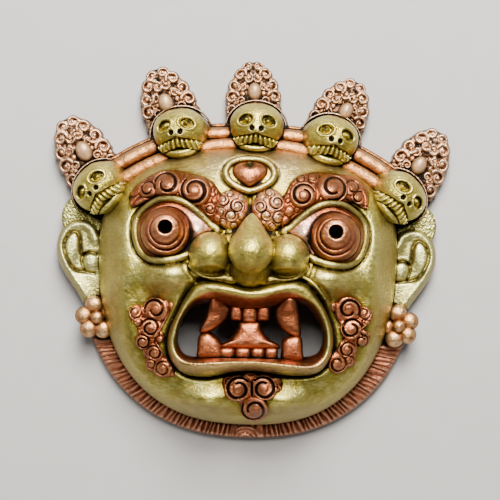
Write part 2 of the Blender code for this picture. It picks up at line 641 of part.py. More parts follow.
def below_back(collection):
    piece = bmesh.new()
    bmesh.ops.create_cube(piece, size=1.0)
    size = (4 * RIM_DROP, 4 * RIM_DROP, 4 * BELOW_BACK)
    bmesh.ops.transform(piece, matrix=Matrix.Diagonal((*size, 1.0)), verts=piece.verts)
    bmesh.ops.translate(piece, vec=(0.0, 0.0, -size[2] / 2), verts=piece.verts)
    return make_object("below_back", piece, collection)


def hollow(collection):
    """The inside of the shell: the face's dome, one wall further in, open behind."""
    piece = bmesh.new()
    bmesh.ops.create_uvsphere(piece, u_segments=36, v_segments=18, radius=1.0)
    for vertex in piece.verts:
        x, y, z = vertex.co
        reach = math.hypot(x, y)
        stretch = reach / face_reach(x, y, WALL) if reach > 1e-6 else 0.0
        height = FACE_EDGE_Z - WALL + (FACE_TOP_Z - FACE_EDGE_Z) * dome_share(reach)
        vertex.co = (x * stretch, y * stretch, height if z > -0.01 else -2 * BELOW_BACK)
    return make_object("hollow", piece, collection)


def hanging_notch(collection):
    """A flat seat for a nail in the hollow's top edge."""
    low, high = (FACE_RISE - WALL) * 0.6, FACE_RISE - WALL + NOTCH_RISE
    piece = bmesh.new()
    bmesh.ops.create_cube(piece, size=1.0)
    size = (NOTCH_WIDTH, high - low, 2 * NOTCH_DEPTH)
    bmesh.ops.transform(piece, matrix=Matrix.Diagonal((*size, 1.0)), verts=piece.verts)
    bmesh.ops.translate(piece, vec=(0.0, (low + high) / 2, 0.0), verts=piece.verts)
    return make_object("hanging_notch", piece, collection)


def pupil(collection, side):
    piece = bmesh.new()
    bmesh.ops.create_cone(piece, cap_ends=True, segments=20, radius1=PUPIL_DIAMETER / 2,
                          radius2=PUPIL_DIAMETER / 2, depth=2 * EYEBALL_FRONT_Z)
    bmesh.ops.translate(piece, vec=(side * EYE_X, EYE_Y, EYEBALL_FRONT_Z / 2), verts=piece.verts)
    return make_object("pupil_left" if side < 0 else "pupil_right", piece, collection)


def centre_on_origin(mask, cutters):
    """Moves mask and cutters together, so that the mask's box is centred over the origin."""
    corners = [Vector(corner) for corner in evaluated(mask).bound_box]
    middle = (Vector(map(min, zip(*corners))) + Vector(map(max, zip(*corners)))) / 2
    for made in [mask, *cutters.objects]:
        made.location.x -= middle.x
        made.location.y -= middle.y


def paint(mask):
    material = bpy.data.materials.new("antique_gold_paint")
    material.use_nodes = True
    shader = material.node_tree.nodes["Principled BSDF"]
    shader.inputs["Base Color"].default_value = ANTIQUE_GOLD
    shader.inputs["Metallic"].default_value = 0.75
    shader.inputs["Roughness"].default_value = 0.4
    mask.data.materials.append(material)


def build():
    for old in list(bpy.data.objects):
        bpy.data.objects.remove(old)
    collection = bpy.data.collections.new("guardian_wall_mask")
    cutters = bpy.data.collections.new("cutters")
    bpy.context.scene.collection.children.link(collection)
    bpy.context.scene.collection.children.link(cutters)
    clay = Clay(collection)
    pierced_face(clay, collection, cutters)
    beard_rim(clay)
    nose(clay)
    mouth(clay)
    third_eye(clay)
    for side in (-1, 1):
        eye(clay, side)
        brow(clay, side)
        ear(clay, side)
        ear_flower(clay, side)
    tufts(clay)
    crown(clay, collection)
    mask = fused(clay, collection)
    for cutter in (below_back(cutters), hollow(cutters), hanging_notch(cutters)):
        cut_with(mask, cutter)
    for side in (-1, 1):
        cut_with(mask, pupil(cutters, side))
    centre_on_origin(mask, cutters)
    paint(mask)


build()
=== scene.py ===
"""Finished surface of the guardian wall mask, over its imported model.

Lengths are in millimetres until a mesh is made. X runs to the right seen from the front, Y to the
crown, Z out of the face, and the mask lies on its flat back at z = 0.
"""

import math

import bpy
import numpy as np
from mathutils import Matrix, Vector


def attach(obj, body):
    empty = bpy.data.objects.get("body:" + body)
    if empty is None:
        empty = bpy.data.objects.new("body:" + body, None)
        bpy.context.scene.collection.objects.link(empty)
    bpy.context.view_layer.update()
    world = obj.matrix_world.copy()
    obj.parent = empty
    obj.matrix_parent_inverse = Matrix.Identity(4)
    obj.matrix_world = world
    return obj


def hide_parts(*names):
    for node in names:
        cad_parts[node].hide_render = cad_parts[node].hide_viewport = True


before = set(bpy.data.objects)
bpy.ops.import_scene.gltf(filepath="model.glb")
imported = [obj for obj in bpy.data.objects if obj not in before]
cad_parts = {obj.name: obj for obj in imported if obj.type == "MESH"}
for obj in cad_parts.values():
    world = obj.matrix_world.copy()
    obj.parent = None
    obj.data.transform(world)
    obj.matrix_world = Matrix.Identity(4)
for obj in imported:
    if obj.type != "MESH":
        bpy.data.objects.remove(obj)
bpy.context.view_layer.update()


# The face is a hollow shell of stone-filled resin, poured in a soft mould and painted green-gold
# over black. It is open behind and at the mouth, and a notch in the top edge of its hollow hangs on
# a nail. Every other form stands on it, so its height is also theirs.

MM = 0.001
FACE_HALF_WIDTHS = (79.5, 77.5)         # left and right of the nose
FACE_RISE, FACE_DROP = 55.0, 92.0
FACE_SQUARENESS, FACE_FULLNESS = 2.42, 2.6
FACE_EDGE_Z, FACE_TOP_Z = 13.0, 47.0
WALL = 6.5
# place x and y, spread x and y, height
SWELLINGS = (
    (41, -13.5, 14, 9, 11), (63, -36, 8, 26, 4.5), (21, -79, 15, 7.5, 10), (34, 29, 22, 10, 5),
    (65, 4, 7, 20, 4.5), (0, 44, 20, 7, 2.5), (50, -30, 8, 10, -3),
)
MOUTH_X, MOUTH_Y = 1.0, -41.0
NOTCH_HALF_WIDTH, NOTCH_RISE, NOTCH_DEPTH = 8.0, 4.0, 7.0
EYE_X, EYE_Y = 42.8, 10.4
LID = (
    (58.6, 12), (58.4, 5), (56.2, -1.2), (52, -5.2), (46.5, -6.6), (39.5, -5.9), (32.5, -3.6), (25.5, 1),
    (17.2, 8.9), (21, 12.6), (25.6, 17.2), (30.8, 21.4), (36, 24), (41.5, 24.8), (47, 24), (52.4, 20.8),
    (56.4, 16.9),
)
# outlines of the lips, from over the middle tooth to the right and round
LIP_OUTER = (
    (1, -17.7), (5.8, -16.9), (10.8, -15.5), (15.5, -14.1), (22.5, -13.5), (27.2, -15.4), (31.8, -18.9),
    (36.3, -24.4), (40.2, -31), (43.2, -38.5), (44.2, -46.4), (43, -53.8), (39.8, -59.4), (35.4, -62.6),
    (27.8, -63.8), (18.9, -63.6), (10, -62.5), (2, -61.9), (-7.8, -63), (-13.5, -64.5), (-21.1, -65.8),
    (-29.6, -65.3), (-35, -62.6), (-38.6, -58.4), (-40.6, -53), (-41.1, -46.7), (-39.2, -39.5),
    (-36, -32.6), (-32.4, -25), (-28, -18.7), (-22.9, -15.6), (-14.5, -15.3), (-9, -16.4), (-3.5, -17.6),
)
LIP_CREST = (
    (1.2, -22), (9.5, -21), (17.5, -19.2), (24.3, -19.3), (29.8, -22.5), (35.4, -27.6), (39.4, -35.1),
    (41.2, -43.1), (40.8, -50.3), (37.6, -55.9), (32.3, -58), (22.6, -57.6), (16.2, -57), (8.1, -56.4),
    (2, -56.2), (-7.9, -56.6), (-17.2, -57.2), (-25.2, -58), (-31.6, -57.4), (-35.6, -54.6), (-37.6, -50),
    (-37.4, -45.4), (-35.4, -37.3), (-31.2, -28.6), (-26.4, -22.7), (-22.2, -20.4), (-18, -19.9),
    (-9, -20.7),
)
GUM = (
    (1, -29.5), (8, -29.3), (15, -28.2), (22.8, -26.4), (29.3, -27.7), (35, -34.1), (38.2, -41.3),
    (38.2, -47), (35.9, -51.9), (30.9, -53.8), (24, -54.6), (12, -54.9), (2, -54.9), (-13.4, -55.2),
    (-24.8, -55.6), (-31.3, -54.6), (-34.6, -51), (-35.6, -45.9), (-34.2, -38.6), (-31, -32.8),
    (-26.4, -28.8), (-21.5, -27.8), (-14.2, -28.7), (-6, -29.4),
)
THIRD_EYE = (-1.2, 38.5)
THIRD_EYE_RIM = (
    (-1.2, 30), (4.6, 31.8), (9.3, 35), (11.2, 39.2), (9.2, 43.6), (4.8, 46), (-1.2, 46.7), (-7.2, 46),
    (-11.6, 43.6), (-13.6, 39.2), (-11.7, 35), (-7, 31.8),
)
# carved lines: points, half width, depth
CARVED_LINES = (
    (((-0.9, 29), (-0.7, 25), (-0.9, 20.5)), 1.2, 2),
    (((-31.5, -4.5), (-30.6, -9), (-29.4, -13), (-26, -16)), 0.8, 1.4),
    (((-34.6, -6), (-33, -10.5), (-30.4, -15), (-30, -18.5)), 0.8, 0.8),
    (((32, -4.5), (30.8, -9), (29.6, -13), (26.4, -15.6)), 0.8, 1.4),
    (((34.4, -5), (33, -9.5), (32, -13.5)), 0.8, 0.8),
    (((27, -13.5), (33, -15.4), (38.5, -19.6), (42, -25)), 0.9, 1),
)
RAYS, FRONT_ROWS, BACK_ROWS = 400, 92, 14


def through(points, count, closed=False):
    """Count places on a smooth curve through the points: cubic pieces whose slope at each point is
    half the step from the point before it to the point after it."""
    points = np.asarray(points, float)
    if closed:
        spans = len(points)
        held = np.vstack([points[-1:], points, points[:2]])
    else:
        spans = len(points) - 1
        held = np.vstack([2 * points[:1] - points[1:2], points, 2 * points[-1:] - points[-2:-1]])
    along = np.linspace(0, spans, count, endpoint=not closed)
    span = np.minimum(along.astype(int), spans - 1)
    share = (along - span)[:, None]
    a, b, c, d = held[span], held[span + 1], held[span + 2], held[span + 3]
    bend = (2 * a - 5 * b + 4 * c - d) * share ** 2 + (3 * b - a - 3 * c + d) * share ** 3
    return b + 0.5 * ((c - a) * share + bend)


def once_round(count):
    """Evenly spaced angles once round a circle."""
    return np.linspace(0, math.tau, count, endpoint=False)


def pointing(angles):
    """The direction of each angle, as x and y."""
    return np.column_stack([np.cos(angles), np.sin(angles)])


def at_height(place, z):
    """Flat places with a height each, or one for all."""
    return np.column_stack([place, np.broadcast_to(z, len(place))])


def unit(value):
    """The value, held between 0 and 1."""
    return np.clip(value, 0, 1)


def bell(*values):
    """1 where all the values are 0, and less away from it: e to the minus sum of their squares."""
    return np.exp(-sum(value ** 2 for value in values))


def steep(value, width):
    """1 well below zero and 0 well above it, through a steep smooth step of that width."""
    return 1 / (1 + np.exp(np.clip(value / width, -50, 50)))


def face_reach(x, y, inset=0.0):
    """0 at the nose and 1 on the face's outline, a squared ellipse: the root of the sum of both
    distances, each as a share of its half axis and raised to the squareness."""
    across = np.where(x < 0, *FACE_HALF_WIDTHS) - inset
    along = np.where(y > 0, FACE_RISE, FACE_DROP) - inset
    powers = np.abs(x / across) ** FACE_SQUARENESS + np.abs(y / along) ** FACE_SQUARENESS
    return powers ** (1 / FACE_SQUARENESS)


def dome(reach):
    """1 in the middle and 0 at the edge: the root of 1 less the reach to the fullness."""
    return np.sqrt(1 - np.minimum(reach, 1.0) ** FACE_FULLNESS)


def face_height(x, y):
    """Height of the bare face: the dome over its edge, and a bell-shaped swelling each for cheek,
    jowl, chin, brow ridge and temple, mirrored."""
    rise = dome(face_reach(x, y))
    z = FACE_EDGE_Z + (FACE_TOP_Z - FACE_EDGE_Z) * rise
    for place_x, place_y, spread_x, spread_y, height in SWELLINGS:
        swelling = height * bell((np.abs(x) - place_x) / spread_x, (y - place_y) / spread_y)
        z = z + np.minimum(1.0, 1.6 * rise) * swelling
    return z


def away_from(x, y, path):
    """For each place, the distance to every straight piece of the path, and how far along it."""
    start, step = path[:-1], np.diff(path, axis=0)
    to_x, to_y = x[..., None] - start[:, 0], y[..., None] - start[:, 1]
    length = (step ** 2).sum(axis=1) + 1e-12
    share = unit((to_x * step[:, 0] + to_y * step[:, 1]) / length)
    return np.hypot(to_x - share * step[:, 0], to_y - share * step[:, 1]), share


def line_depth(x, y, path, half_width, depth):
    """A soft line cut along a path: its depth times a bell of the distance over its half width."""
    return depth * bell(away_from(x, y, path)[0].min(axis=-1) / half_width)


def closed_line(outline, centre, grown, count):
    """An outline as a closed line, grown about its centre."""
    line = through((np.asarray(outline) - centre) * grown + centre, count, closed=True)
    return np.vstack([line, line[:1]])


# all lines of the skin: path, half width, depth, and how black the wash leaves it
SKIN_LINES = [
    (closed_line(LID, (EYE_X, EYE_Y), 1.15, 90), 0.9, 1.6, 0.95),
    (closed_line(LID, (EYE_X, EYE_Y), 1.15, 90) * (-1, 1), 0.9, 1.6, 0.95),
    (closed_line(LIP_OUTER, (MOUTH_X, MOUTH_Y), 1.015, 130), 1.2, 1.8, 0.9),
    (closed_line(THIRD_EYE_RIM, THIRD_EYE, 1.17, 60), 0.8, 1.2, 0.9),
] + [(through(points, 16), half_width, depth, 0.6) for points, half_width, depth in CARVED_LINES]


def skin(x, y):
    """The face with its lines cut in: round the lids, lips and third eye, and the small folds."""
    z = face_height(x, y)
    for path, half_width, depth, _ in SKIN_LINES:
        z = z - line_depth(x, y, path, half_width, depth)
    return z


def skin_black(x, y):
    """Where black is left in the lines: a bell narrower than each cut."""
    lines = [line_depth(x, y, path, 0.75 * wide, black) for path, wide, _, black in SKIN_LINES]
    return np.maximum.reduce(lines)


def polar_reach(outline, centre, angles):
    """Distance from the centre to an outline in each direction, read between its points."""
    off = outline - centre
    turn = np.arctan2(off[:, 1], off[:, 0])
    order = np.argsort(turn)
    return np.interp(angles, turn[order], np.hypot(*off.T)[order], period=math.tau)


def outline_reach(directions, centre, inset):
    """Distance from the centre to the face's outline in each direction, by halving steps."""
    low, high = np.zeros(len(directions)), np.full(len(directions), 2 * FACE_DROP)
    for _ in range(40):
        middle = (low + high) / 2
        place = centre + directions * middle[:, None]
        inside = face_reach(place[:, 0], place[:, 1], inset) < 1
        low, high = np.where(inside, middle, low), np.where(inside, high, middle)
    return low


def face_rings():
    """Rings round the mouth: from the lips out over the face, down its side, in along the flat
    back, and up the inside of the dome to the mouth again."""
    centre = np.array([MOUTH_X, MOUTH_Y])
    even = once_round(RAYS)
    angles = even - 0.45 * np.sin(even - math.pi / 2)       # closer together over the brows
    directions = pointing(angles)
    lips = polar_reach(through(LIP_CREST, 400, closed=True), centre, angles)
    edge = outline_reach(directions, centre, 0.0)
    inner = outline_reach(directions, centre, WALL)

    def ring(reach, height):
        """Points at that reach, at one height or at the height of a surface."""
        place = centre + directions * np.asarray(reach)[:, None]
        return at_height(place, height(*place.T) if callable(height) else height)

    def inside(x, y):
        """The hollow dome, one wall inside the face."""
        return FACE_EDGE_Z - WALL + (FACE_TOP_Z - FACE_EDGE_Z) * dome(face_reach(x, y, WALL))

    even = np.linspace(0, 1, FRONT_ROWS)
    shares = 0.5 * even + 0.5 * np.sin(even * math.pi / 2)  # closer together at the outline
    rows = [ring(lips + (edge - lips) * share, skin) for share in shares]
    rows += [ring(edge, FACE_EDGE_Z * share) for share in (0.7, 0.35, 0.0)]
    at_top = (np.abs(directions[:, 0] * inner + MOUTH_X) < NOTCH_HALF_WIDTH) & (directions[:, 1] > 0)
    notched = inner + np.where(at_top, NOTCH_RISE, 0.0)
    rows += [ring(notched, 0.0), ring(notched, NOTCH_DEPTH), ring(inner, NOTCH_DEPTH)]
    even = np.linspace(1, 0, BACK_ROWS)
    shares = 0.4 * even + 0.6 * np.sin(even * math.pi / 2)
    rows += [ring(lips + (inner - lips) * share, inside) for share in shares[1:]]
    return np.array(rows)


def shell_faces(rings, loop, first):
    """Quads that join each ring of points to the next, and fans that close the two end rings round
    a middle point each, or else a loop. They are turned round if the volume they hold is negative."""
    rows, columns = rings.shape[:2]
    points = rings.reshape(-1, 3)
    index = np.arange(rows * columns).reshape(rows, columns)
    beside = np.roll(index, -1, axis=1)
    over, over_beside = np.roll(index, -1, axis=0), np.roll(beside, -1, axis=0)
    quads = np.stack([index, beside, over_beside, over], axis=-1)
    fans = np.empty((0, 3), int)
    if not loop:
        quads = quads[:-1]
        points = np.vstack([points, rings[0].mean(axis=0), rings[-1].mean(axis=0)])
        hub = np.full(columns, rows * columns)
        fans = np.vstack([
            np.column_stack([beside[0], index[0], hub]), np.column_stack([index[-1], beside[-1], hub + 1]),
        ])
    quads = quads.reshape(-1, 4)
    corners = points[np.vstack([quads[:, :3], quads[:, [0, 2, 3]], fans])]
    if (corners[:, 0] * np.cross(corners[:, 1], corners[:, 2])).sum() < 0:
        quads, fans = quads[:, ::-1], fans[:, ::-1]
    return points, quads + first, fans + first


def closed_mesh(name, shells):
    """A smooth mesh of one or more closed shells."""
    points, quads, fans, first = [], [], [], 0
    for shell in shells:
        made = shell_faces(shell["rings"], shell["loop"], first)
        first += len(made[0])
        for held, part in zip((points, quads, fans), made):
            held.append(part)
    points, quads, fans = np.vstack(points), np.vstack(quads), np.vstack(fans)
    mesh = bpy.data.meshes.new(name)
    mesh.vertices.add(len(points))
    mesh.vertices.foreach_set("co", (points * MM).ravel())
    mesh.loops.add(quads.size + fans.size)
    mesh.loops.foreach_set("vertex_index", np.concatenate([quads.ravel(), fans.ravel()]))
    mesh.polygons.add(len(quads) + len(fans))
    starts = np.concatenate([np.arange(len(quads)) * 4, quads.size + np.arange(len(fans)) * 3])
    mesh.polygons.foreach_set("loop_start", starts)
    mesh.update(calc_edges=True)
    mesh.shade_smooth()
    return mesh


def shell(rings, loop=False, **marks):
    """A closed shell with its marks, such as where it is carved or copper, one value to a point."""
    return {"rings": rings, "loop": loop, "marks": marks}


def plug(tree, inputs, sockets):
    """Puts on each socket its value, or a link from another socket."""
    for name, value in sockets.items():
        if isinstance(value, bpy.types.NodeSocket):
            tree.links.new(value, inputs[name])
        else:
            inputs[name].default_value = value


def wire(tree, kind, sockets, **settings):
    """A shader node with its settings, and its sockets plugged."""
    node = tree.nodes.new(kind)
    for name, value in settings.items():
        setattr(node, name, value)
    plug(tree, node.inputs, sockets)
    return node


def mixed(tree, factor, first, second, blend="MIX"):
    """A colour between two others, by a factor that varies over the surface."""
    sockets = {0: factor, 6: first, 7: second}
    return wire(tree, "ShaderNodeMix", sockets, data_type="RGBA", blend_type=blend).outputs[2]


def counted(tree, operation, *values):
    """The result of one sum on values or sockets, kept between 0 and 1."""
    sockets = dict(enumerate(values))
    return wire(tree, "ShaderNodeMath", sockets, operation=operation, use_clamp=True).outputs[0]


def raised(tree, value, share, base):
    """A share of the value, added to a base."""
    sockets = {0: value, 1: share, 2: base}
    return wire(tree, "ShaderNodeMath", sockets, operation="MULTIPLY_ADD").outputs[0]


def ranged(tree, value, low, high, new_low=0.0, new_high=1.0, shape="SMOOTHSTEP"):
    """The value with its range low to high spread over a new range, smoothly or evenly."""
    sockets = {"Value": value, "From Min": low, "From Max": high, "To Min": new_low, "To Max": new_high}
    return wire(tree, "ShaderNodeMapRange", sockets, interpolation_type=shape).outputs[0]


def object_place(tree):
    """The place on the object itself, in metres."""
    return tree.nodes.new("ShaderNodeTexCoord").outputs["Object"]


def noise(tree, place, scale, detail, distortion=0.0):
    """Soft noise over a place."""
    sockets = {"Vector": place, "Scale": scale, "Detail": detail, "Distortion": distortion}
    return wire(tree, "ShaderNodeTexNoise", sockets).outputs[0]


def marked(tree, word):
    """What the mesh holds at each point under that word."""
    return wire(tree, "ShaderNodeAttribute", {}, attribute_name=word).outputs["Fac"]


def group_with(name, inputs, outputs):
    """A node group with its named sockets, which hold a colour unless they are roughness or height."""
    tree = bpy.data.node_groups.new(name, "ShaderNodeTree")
    kinds = {"Roughness": "NodeSocketFloat", "Height": "NodeSocketFloat"}
    for words, way in ((inputs, "INPUT"), (outputs, "OUTPUT")):
        for word in words:
            tree.interface.new_socket(word, in_out=way, socket_type=kinds.get(word, "NodeSocketColor"))
    return tree, tree.nodes.new("NodeGroupInput").outputs, tree.nodes.new("NodeGroupOutput").inputs


SHADES = ("Paint", "Shade", "Rubbed")
# a brown for the painted shade on steep flanks and round hollows, and the black of the wash
PAINTED_SHADE_BROWN, BLACK_WASH = (0.22, 0.155, 0.07, 1.0), (0.010, 0.0065, 0.0045, 1.0)


def brushed_metal_paint():
    """Group: metallic paint laid on with a brush. Its colour drifts towards a browner shade in soft
    patches, is streaked by the bristles, and is rubbed paler on the ridges."""
    tree, given, put_out = group_with("brushed_metal_paint", SHADES, ("Color", "Roughness", "Height"))
    place = object_place(tree)
    stretched = wire(tree, "ShaderNodeMapping", {"Vector": place, "Scale": (330.0, 900.0, 500.0)}).outputs[0]
    patches, bristles = noise(tree, place, 42.0, 4.0), noise(tree, stretched, 1.0, 4.0)
    wrinkles, grain = noise(tree, place, 620.0, 3.0, 1.2), noise(tree, place, 1700.0, 2.0)
    toned = mixed(tree, ranged(tree, patches, 0.35, 0.75, 0.0, 0.8), given["Paint"], given["Shade"])
    worn = counted(tree, "MULTIPLY", marked(tree, "rub"), ranged(tree, bristles, 0.25, 0.6, 0.5, 1.0))
    rubbed = mixed(tree, worn, toned, given["Rubbed"])
    streaks = ranged(tree, bristles, 0.3, 0.7, 0.88, 1.08, shape="LINEAR")
    speckles = ranged(tree, grain, 0.3, 0.7, 0.94, 1.04, shape="LINEAR")
    value = wire(tree, "ShaderNodeMath", {0: streaks, 1: speckles}, operation="MULTIPLY").outputs[0]
    streaked = wire(tree, "ShaderNodeVectorMath", {0: rubbed, 1: value}, operation="MULTIPLY").outputs[0]
    roughness = ranged(tree, bristles, 0.3, 0.7, 0.31, 0.42)
    height = raised(tree, grain, 0.22, wrinkles)
    plug(tree, put_out, {"Color": streaked, "Roughness": roughness, "Height": height})
    return tree


def antique_wash():
    """Group: black paint washed over the metal and wiped off, which stays black in the hollows, and a
    painted shade: a thin brown darkening round the hollows and on steep flanks, where shade falls."""
    tree, given, put_out = group_with("antique_wash", ("Color", "Roughness"), ("Color", "Roughness"))
    place = object_place(tree)
    left = ranged(tree, raised(tree, noise(tree, place, 420.0, 4.0), 1.0, marked(tree, "wash")), 0.92, 1.28)
    # painted shade: brown over steep flanks and round the hollows, broken up by soft noise
    thin = raised(tree, noise(tree, place, 150.0, 4.0), 0.25, marked(tree, "painted_shade"))
    shade_share = counted(tree, "MULTIPLY", ranged(tree, thin, 0.10, 1.1), 0.80)
    shaded_colour = mixed(tree, 1.0, given["Color"], PAINTED_SHADE_BROWN, blend="MULTIPLY")
    with_shade = mixed(tree, shade_share, given["Color"], shaded_colour)
    roughness = raised(tree, left, 0.12, given["Roughness"])
    plug(tree, put_out, {"Color": mixed(tree, left, with_shade, BLACK_WASH), "Roughness": roughness})
    return tree


METAL_PAINT = brushed_metal_paint()
WASH_AND_SHADE = antique_wash()
# paint, its browner shade, and where it is rubbed
GREEN_GOLD = ((0.54, 0.42, 0.050), (0.48, 0.34, 0.040), (0.84, 0.76, 0.24))
COPPER = ((0.48, 0.125, 0.040), (0.30, 0.060, 0.020), (0.94, 0.43, 0.20))
ROSE_GOLD_AND_HIGHLIGHT = ((0.76, 0.50, 0.23), (0.68, 0.43, 0.17), (0.96, 0.78, 0.52))


def new_material(name):
    """A material, its node tree and its Principled shader."""
    material = bpy.data.materials.new(name)
    material.use_nodes = True
    return material, material.node_tree, material.node_tree.nodes["Principled BSDF"]


def metal_finish(name, paint, second=None, bump=0.00040, metallic=0.92):
    """A painted and washed metal finish, with the painted shade of the wash group. Where the attribute
    copper is 1, the second paint shows; on some pieces it is a painted shade or a painted highlight.
    """
    material, tree, shader = new_material(name)
    coats = [
        wire(tree, "ShaderNodeGroup", {word: (*shade, 1.0) for word, shade in zip(SHADES, coat)},
             node_tree=METAL_PAINT).outputs
        for coat in (paint, second) if coat
    ]
    colour = coats[0]["Color"]
    if second:
        colour = mixed(tree, marked(tree, "copper"), colour, coats[1]["Color"])
    coated = {"Color": colour, "Roughness": coats[0]["Roughness"]}
    washed_and_shaded = wire(tree, "ShaderNodeGroup", coated, node_tree=WASH_AND_SHADE).outputs
    uneven = wire(tree, "ShaderNodeBump", {"Height": coats[0]["Height"], "Distance": bump, "Strength": 0.9})
    plug(tree, shader.inputs, {
        "Base Color": washed_and_shaded["Color"], "Roughness": washed_and_shaded["Roughness"], "Normal": uneven.outputs[0],
        "Metallic": metallic,
    })
    return material


def bare_resin():
    """Black cast resin, satin, with the faint mottle of the mould."""
    material, tree, shader = new_material("bare_resin_finish")
    mottle = noise(tree, object_place(tree), 180.0, 5.0)
    tone = mixed(tree, mottle, (0.022, 0.020, 0.019, 1.0), (0.050, 0.045, 0.041, 1.0))
    uneven = wire(tree, "ShaderNodeBump", {"Height": mottle, "Distance": 0.0005, "Strength": 0.5})
    satin = ranged(tree, mottle, 0.3, 0.7, 0.50, 0.68)
    plug(tree, shader.inputs, {"Base Color": tone, "Roughness": satin, "Normal": uneven.outputs[0]})
    return material


RESIN_FINISH = bare_resin()
BACKWARDS = -0.25           # faces turned further back than this are bare resin
castings = []


def hold(mesh, word, values):
    """Keeps a value for each point of the mesh under a word."""
    layer = mesh.attributes.new(word, "FLOAT", "POINT")
    layer.data.foreach_set("value", values.astype(np.float32))


def cast(name, shells, finish, wiped=0.0):
    """Makes a piece of the casting, which rides on the mask's one body and stands for its solid.
    Faces that look backwards are bare resin, as the paint is only on the front. Wiped says what
    share of the wash is rubbed off it again; its painted shade is lessened by the same share."""
    mesh = closed_mesh(name, shells)
    mesh.materials.append(finish)
    mesh.materials.append(RESIN_FINISH)
    normals = np.empty(len(mesh.polygons) * 3)
    mesh.polygons.foreach_get("normal", normals)
    mesh.polygons.foreach_set("material_index", (normals[2::3] < BACKWARDS).astype(np.int32))
    for word in ("carved", "copper"):
        values = []
        for part in shells:
            marks = part["marks"].get(word)
            marks = np.broadcast_to(0.0 if marks is None else marks, part["rings"].shape[:2]).ravel()
            values.append(marks if part["loop"] else np.append(marks, (marks[0], marks[-1])))
        hold(mesh, word, np.concatenate(values))
    made = bpy.data.objects.new(name, mesh)
    bpy.context.collection.objects.link(made)
    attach(made, "root")
    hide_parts("mask")
    castings.append((made, shells, wiped))
    return made


GREEN_FINISH = metal_finish("green_gold_finish", GREEN_GOLD)
COPPER_FINISH = metal_finish("copper_finish", COPPER)
FACE_FINISH = metal_finish("face_finish", GREEN_GOLD, ROSE_GOLD_AND_HIGHLIGHT)
rings = face_rings()
# the forehead is painted paler rose gold: a pinkish tint of the paint, and a painted highlight where it faces
# the light
rose_tint_and_highlight = 0.75 * bell(rings[..., 0] / 46.0, (rings[..., 1] - 47.0) / 9.0)
lined = np.zeros(rings.shape[:2])
lined[:FRONT_ROWS] = skin_black(rings[:FRONT_ROWS, :, 0], rings[:FRONT_ROWS, :, 1])
face = shell(rings, loop=True, copper=rose_tint_and_highlight, carved=lined)
face = cast("face", [face], FACE_FINISH, wiped=0.1)

PUPIL_RADIUS = 3.4
DRILL_RADIUS, DRILL_LENGTH = (PUPIL_RADIUS + 1.8) * MM, 0.1
for side in (-1, 1):
    middle = side * EYE_X * MM, EYE_Y * MM, DRILL_LENGTH / 2
    bpy.ops.mesh.primitive_cylinder_add(vertices=48, radius=DRILL_RADIUS, depth=DRILL_LENGTH, location=middle)
    drill = bpy.context.object
    hole = face.modifiers.new("pupil_hole", "BOOLEAN")
    hole.operation, hole.solver, hole.object = "DIFFERENCE", "MANIFOLD", drill
    bpy.context.view_layer.objects.active = face
    bpy.ops.object.modifier_apply(modifier=hole.name)
    bpy.data.objects.remove(drill)


# The eyes bulge out of almond-shaped beds. Each is a ball with turned grooves, deeper to one side,
# round a pupil that is pierced right through the wall, and a rolled lid lies round it.

BALL_RADIUS, BALL_BASE_Z, BALL_RISE = 13.2, 46.0, 13.6
BALL_EDGE, BALL_DROP = 12.7, 2.6        # the ball hangs a little below its pupil
EYE_HOLLOW_Z, EYE_RIM_Z = 36.5, 50.0    # foot and head of the pupil's tunnel
CORNER_X, CORNER_Y, CORNER_RISE = 27.2, 9.0, 3.4        # the bed swells in its inner corner
EYE_COLUMNS, BALL_ROWS, BED_ROWS = 160, 56, 18
# grooves: reach, half width, depth, and the direction of their deepest side, left and right
EYE_GROOVES = ((7.9, 0.42, 0.9, 235, 215), (9.9, 0.55, 1.5, 285, 250), (12.4, 0.45, 0.9, 318, 128))


